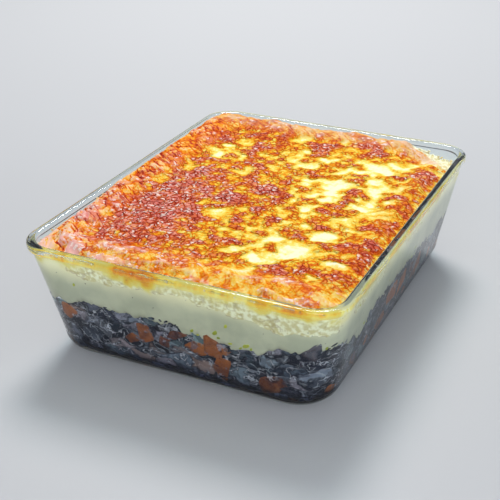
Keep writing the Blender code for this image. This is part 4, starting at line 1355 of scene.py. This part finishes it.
def make_filling_pieces():
    """Carrot, mushroom, onion and mince: listed ones, then scattered ones on the walls and on the floor."""
    chance = random.Random(5)
    carrots = Heap(*cut_forms(9, (4, 4, 5), 12, 0.10, 10, 100), 101)
    mushrooms = Heap(*cut_forms(8, (4, 5, 6), 8, 0.18, 12, 200), 102)
    onions = Heap(*cut_forms(8, (4, 5, 6), 7, 0.16, 12, 300), 103)
    mince = Heap(*forms(4, 2.3, 0.40, 0.8, 10, 400), 104)

    add_listed(chance, carrots, FRONT_CARROTS, 0.0, 0.0042, 0.0, 0.35)
    add_listed(chance, carrots, RIGHT_CARROTS, RIGHT_MIDDLE, 0.0042, 0.0, 0.35)
    add_listed(chance, mushrooms, FRONT_MUSHROOMS, 0.0, 0.0016, 0.10, 0.5)
    add_listed(chance, onions, FRONT_ONIONS, 0.0, 0.0016, 0.10, 0.5)

    for along, up in wall_places(chance, 70, -0.004, -0.003, 1.0):
        sizes = drawn_sizes(chance, (3.4, 6.2), (3.2, 5.4), (2.8, 4.6))
        turns = drawn(chance, (-0.5, 0.5), (-0.5, 0.5), ANY_TURN)
        tone, taper = drawn(chance, (0.1, 0.9), (-0.2, 0.2))
        carrots.add(along, up, sizes, turns, tone=tone, sink=0.35, taper=taper)
    for along, up in wall_places(chance, 190, -0.004, -0.001, 0.3):
        if chance.random() < 0.55:
            # On edge, so that only a thin, curved strip shows
            sizes = drawn_sizes(chance, (5.0, 10.0), (3.0, 5.0), (0.5, 0.85))
            *turns, bend = drawn(chance, (1.1, 1.5), (-0.3, 0.3), (-0.7, 0.7), (-0.5, 0.5))
        else:
            sizes = drawn_sizes(chance, (5.0, 9.0), (3.0, 5.5), (0.8, 1.4))
            *turns, bend = drawn(chance, (-0.5, 0.5), (-0.4, 0.4), (-0.8, 0.8), (-0.35, 0.35))
        mushrooms.add(along, up, sizes, turns, bend=bend, sink=0.45)
    for along, up in wall_places(chance, 140, -0.004, -0.003, 0.4):
        sizes = drawn_sizes(chance, (4.0, 8.0), (2.4, 5.5), (0.7, 1.3))
        *turns, bend = drawn(chance, (-0.6, 0.6), (-0.6, 0.6), (-1.0, 1.0), (-0.4, 0.4))
        onions.add(along, up, sizes, turns, bend=bend, sink=0.45)
    for along, up in wall_places(chance, 640, -0.005, 0.0002):
        radius = chance.uniform(1.1, 2.9) * MM
        sizes = (radius * chance.uniform(0.8, 1.5), radius, radius * chance.uniform(0.7, 1.0))
        *turns, press = drawn(chance, ANY_TURN, ANY_TURN, ANY_TURN, (0.00022, 0.00062))
        mince.add(along, up, sizes, turns, press=press)
    for _ in range(260):
        # Crumbs that stray over the seam
        along = chance.uniform(0.0, ROUND_TRIP)
        up = seam_at(along) + chance.uniform(-0.0015, 0.0022)
        radius = chance.uniform(0.5, 1.3) * MM
        sizes = (radius * chance.uniform(0.9, 2.4), radius * chance.uniform(0.5, 0.9), radius * 0.8)
        turns = (0, 0, chance.uniform(-0.7, 0.7))
        mince.add(along, up, sizes, turns, tone=0.0, press=0.00080, sink=0.50)

    # On the floor of the dish, where they show from below
    on_floor = [
        (carrots, 30, (4.5, 4.2, 3.6)), (mushrooms, 40, (7.0, 5.0, 1.4)), (onions, 36, (6.0, 5.0, 1.3)),
    ]
    for heap, count, half_sizes in on_floor:
        for _ in range(count):
            x, y = drawn(chance, (-0.074, 0.074), (-0.104, 0.104))
            sizes = [size * chance.uniform(0.8, 1.2) * MM for size in half_sizes]
            turns = drawn(chance, (-0.4, 0.4), (-0.4, 0.4), ANY_TURN)
            heap.add(x, y, sizes, turns, sink=0.4, floor=True)

    orange = pressed_material(
        "carrot", colour(74, 38, 40), colour(202, 114, 46), colour(190, 132, 96), colour(30, 18, 30),
        size=0.0062, gloss=0.30, share=0.95, edge_share=0.3, cover=0.65,
    )
    grey = pressed_material(
        "mushroom", colour(52, 54, 72), colour(170, 172, 184), colour(190, 192, 202), colour(12, 14, 30),
        size=0.0030, gloss=0.32, share=0.25, edge_share=0.5,
    )
    clear = pressed_material(
        "onion", colour(50, 60, 78), colour(146, 152, 166), colour(190, 194, 204), colour(10, 16, 32),
        size=0.0050, gloss=0.25, share=0.30, edge_share=0.5,
    )
    meat = pressed_material(
        "mince", colour(40, 34, 46), colour(120, 108, 122), colour(160, 150, 166), colour(12, 12, 24),
        size=0.0018, gloss=0.42, share=0.25, edge_share=0.4,
    )
    carrots.finish("carrot_dice", orange)
    mushrooms.finish("mushroom_slices", grey)
    onions.finish("onion_pieces", clear)
    mince.finish("mince_crumbs", meat)


# ---------------------------------------------------------------- herbs and pepper in the mash

# Flecks behind the front glass, as place along the wall, height, half width, half height and turn
FRONT_HERBS = [
    (24, 42, 1.9, 1.1, 60), (30, 48.5, 1.4, 0.8, 80), (42, 38, 2.0, 1.2, 30), (10.5, 39.5, 1.3, 0.8, 50),
    (33, 37, 1.2, 0.7, 10), (-58, 52, 1.2, 0.7, 60), (26, 39, 1.0, 0.8, 0), (45, 36.5, 1.2, 0.7, 80),
    (14, 37.5, 0.9, 0.6, 20), (39, 35.6, 1.1, 0.6, 40),
]


def make_herbs():
    chance = random.Random(8)
    herbs = Heap(*forms(4, 2.2, 0.30, 0.7, 5, 500), 105)
    pepper = Heap(*forms(3, 2.4, 0.20, 0.8, 3, 520), 106)
    for along, height, half_width, half_height, turn in FRONT_HERBS:
        sizes = (half_width * MM, half_height * MM, 0.00045)
        turns = (0, 0, math.radians(turn))
        herbs.add(along * MM, run_up_to(height * MM), sizes, turns, press=DEEP_PRESS, sink=0.6)
    for _ in range(46):
        along = chance.uniform(FRONT_HALF_RUN, ROUND_TRIP - FRONT_HALF_RUN)
        seam = seam_at(along)
        up = seam + chance.uniform(0.0, 1.0) ** 2.2 * (run_up_to(0.062) - seam)
        sizes = (*drawn_sizes(chance, (0.8, 1.8), (0.5, 1.0)), 0.0004)
        turns = (0, 0, chance.uniform(*ANY_TURN))
        herbs.add(along, up, sizes, turns, press=DEEP_PRESS, sink=0.6)
    for _ in range(90):
        along = chance.uniform(0.0, ROUND_TRIP)
        up = chance.uniform(seam_at(along), run_up_to(0.066))
        half = chance.uniform(0.14, 0.34) * MM
        turns = (0, 0, chance.uniform(*ANY_TURN))
        pepper.add(along, up, (half, half * 0.8, half), turns, press=0.0008, sink=0.6)
    green = plain_food_material("herb", colour(142, 156, 30), colour(204, 204, 66), 0.001, 0.5)
    herbs.finish("herb_flecks", green)
    dark = plain_food_material("pepper", colour(48, 40, 36), colour(92, 80, 62), 0.001, 0.5)
    pepper.finish("pepper_specks", dark)


def make_smears():
    """Crumbs of cheese and mash on the glass above the crust, closest together by the sunken corner."""
    chance = random.Random(9)
    smears = Heap(*forms(6, 2.4, 0.45, 0.5, 8, 540), 107)
    spots = [(BACK_RIGHT_CORNER + chance.gauss(0.0, 0.012), 0.0030) for _ in range(34)]
    spots += [(chance.uniform(0.0, ROUND_TRIP), 0.0006) for _ in range(110)]
    for along, above in spots:
        place = wall_point(np.array([along]), np.array([run_up_to(0.069)]), np.array([0.0]))
        edge = limited(crust_base(place[:, 0], place[:, 1]))[0]
        up = float(run_up_to(min(edge + chance.uniform(-0.0012, 1.0) * above, 0.0700)))
        half = chance.uniform(0.3, 0.9) * MM
        sizes = (half * chance.uniform(0.9, 1.8), half * chance.uniform(0.6, 1.1), half * 0.5)
        turns = (0, 0, chance.uniform(-0.8, 0.8))
        smears.add(along, up, sizes, turns, press=0.0003, sink=0.6)
    cheese = plain_food_material("dried cheese", colour(238, 214, 150), colour(250, 246, 222), 0.002, 0.4)
    smears.finish("cheese_crumbs", cheese)


# ---------------------------------------------------------------- floor, light and camera

FLOOR_HALF_SIZE = 6.0
FLOOR_GAP = 0.00005
CAMERA_AZIMUTH = 25.165
CAMERA_ELEVATION = 26.797
CAMERA_DISTANCE = 0.68251
CAMERA_TARGET = Vector((-0.01108, 0.0, 0.02815))


def linked(name, data):
    """A new object with its data, in the scene."""
    made = bpy.data.objects.new(name, data)
    bpy.context.scene.collection.objects.link(made)
    return made


def make_stage():
    g = Graph("plain pale floor")
    g.set(Base_Color=colour(194, 196, 200), Roughness=0.6, Specular_IOR_Level=0.2)
    mesh = bpy.data.meshes.new("floor")
    corners = [(x * FLOOR_HALF_SIZE, y * FLOOR_HALF_SIZE, 0) for x, y in ((-1, -1), (1, -1), (1, 1), (-1, 1))]
    mesh.from_pydata(corners, [], [(0, 1, 2, 3)])
    mesh.materials.append(g.material)
    floor = linked("floor", mesh)
    floor.location = (0.0, 0.0, CAD_BOX[0][2] - FLOOR_GAP)


def add_light(name, place, target_height, width, height, power, shade):
    """A rectangular light that faces a point over the middle of the dish."""
    light = bpy.data.lights.new(name, "AREA")
    light.shape = "RECTANGLE"
    light.size = width
    light.size_y = height
    light.energy = power
    light.color = shade
    lamp = linked(name, light)
    lamp.location = place
    ahead = Vector((0, 0, target_height)) - Vector(place)
    lamp.rotation_euler = ahead.to_track_quat("-Z", "Y").to_euler()


def make_lights():
    world = bpy.data.worlds.new("studio")
    world.use_nodes = True
    background = world.node_tree.nodes["Background"]
    background.inputs["Color"].default_value = (0.86, 0.93, 1.0, 1.0)
    background.inputs["Strength"].default_value = 0.30
    bpy.context.scene.world = world
    add_light("key", (-0.48, 1.10, 1.45), 0.05, 0.60, 0.60, 29.0, (1.0, 0.98, 0.95))
    add_light("fill", (0.35, -1.25, 0.85), 0.04, 1.1, 0.8, 9.0, (0.98, 0.98, 1.0))
    add_light("side", (1.50, 0.10, 0.42), 0.04, 0.8, 0.6, 4.0, (0.90, 0.96, 1.0))
    bpy.context.scene.view_settings.view_transform = "Standard"


def make_camera():
    azimuth = math.radians(CAMERA_AZIMUTH)
    elevation = math.radians(CAMERA_ELEVATION)
    level = math.cos(elevation)
    ahead = Vector((-math.sin(azimuth) * level, math.cos(azimuth) * level, -math.sin(elevation)))
    data = bpy.data.cameras.new("camera")
    data.sensor_width = 36.0
    data.lens = 74.382
    camera = linked("camera", data)
    camera.location = CAMERA_TARGET - ahead * CAMERA_DISTANCE
    camera.rotation_euler = ahead.to_track_quat("-Z", "Y").to_euler()
    bpy.context.scene.camera = camera


make_camera()
make_dish()
make_mash()
make_core()
make_filling_pieces()
make_herbs()
make_smears()
make_stage()
make_lights()
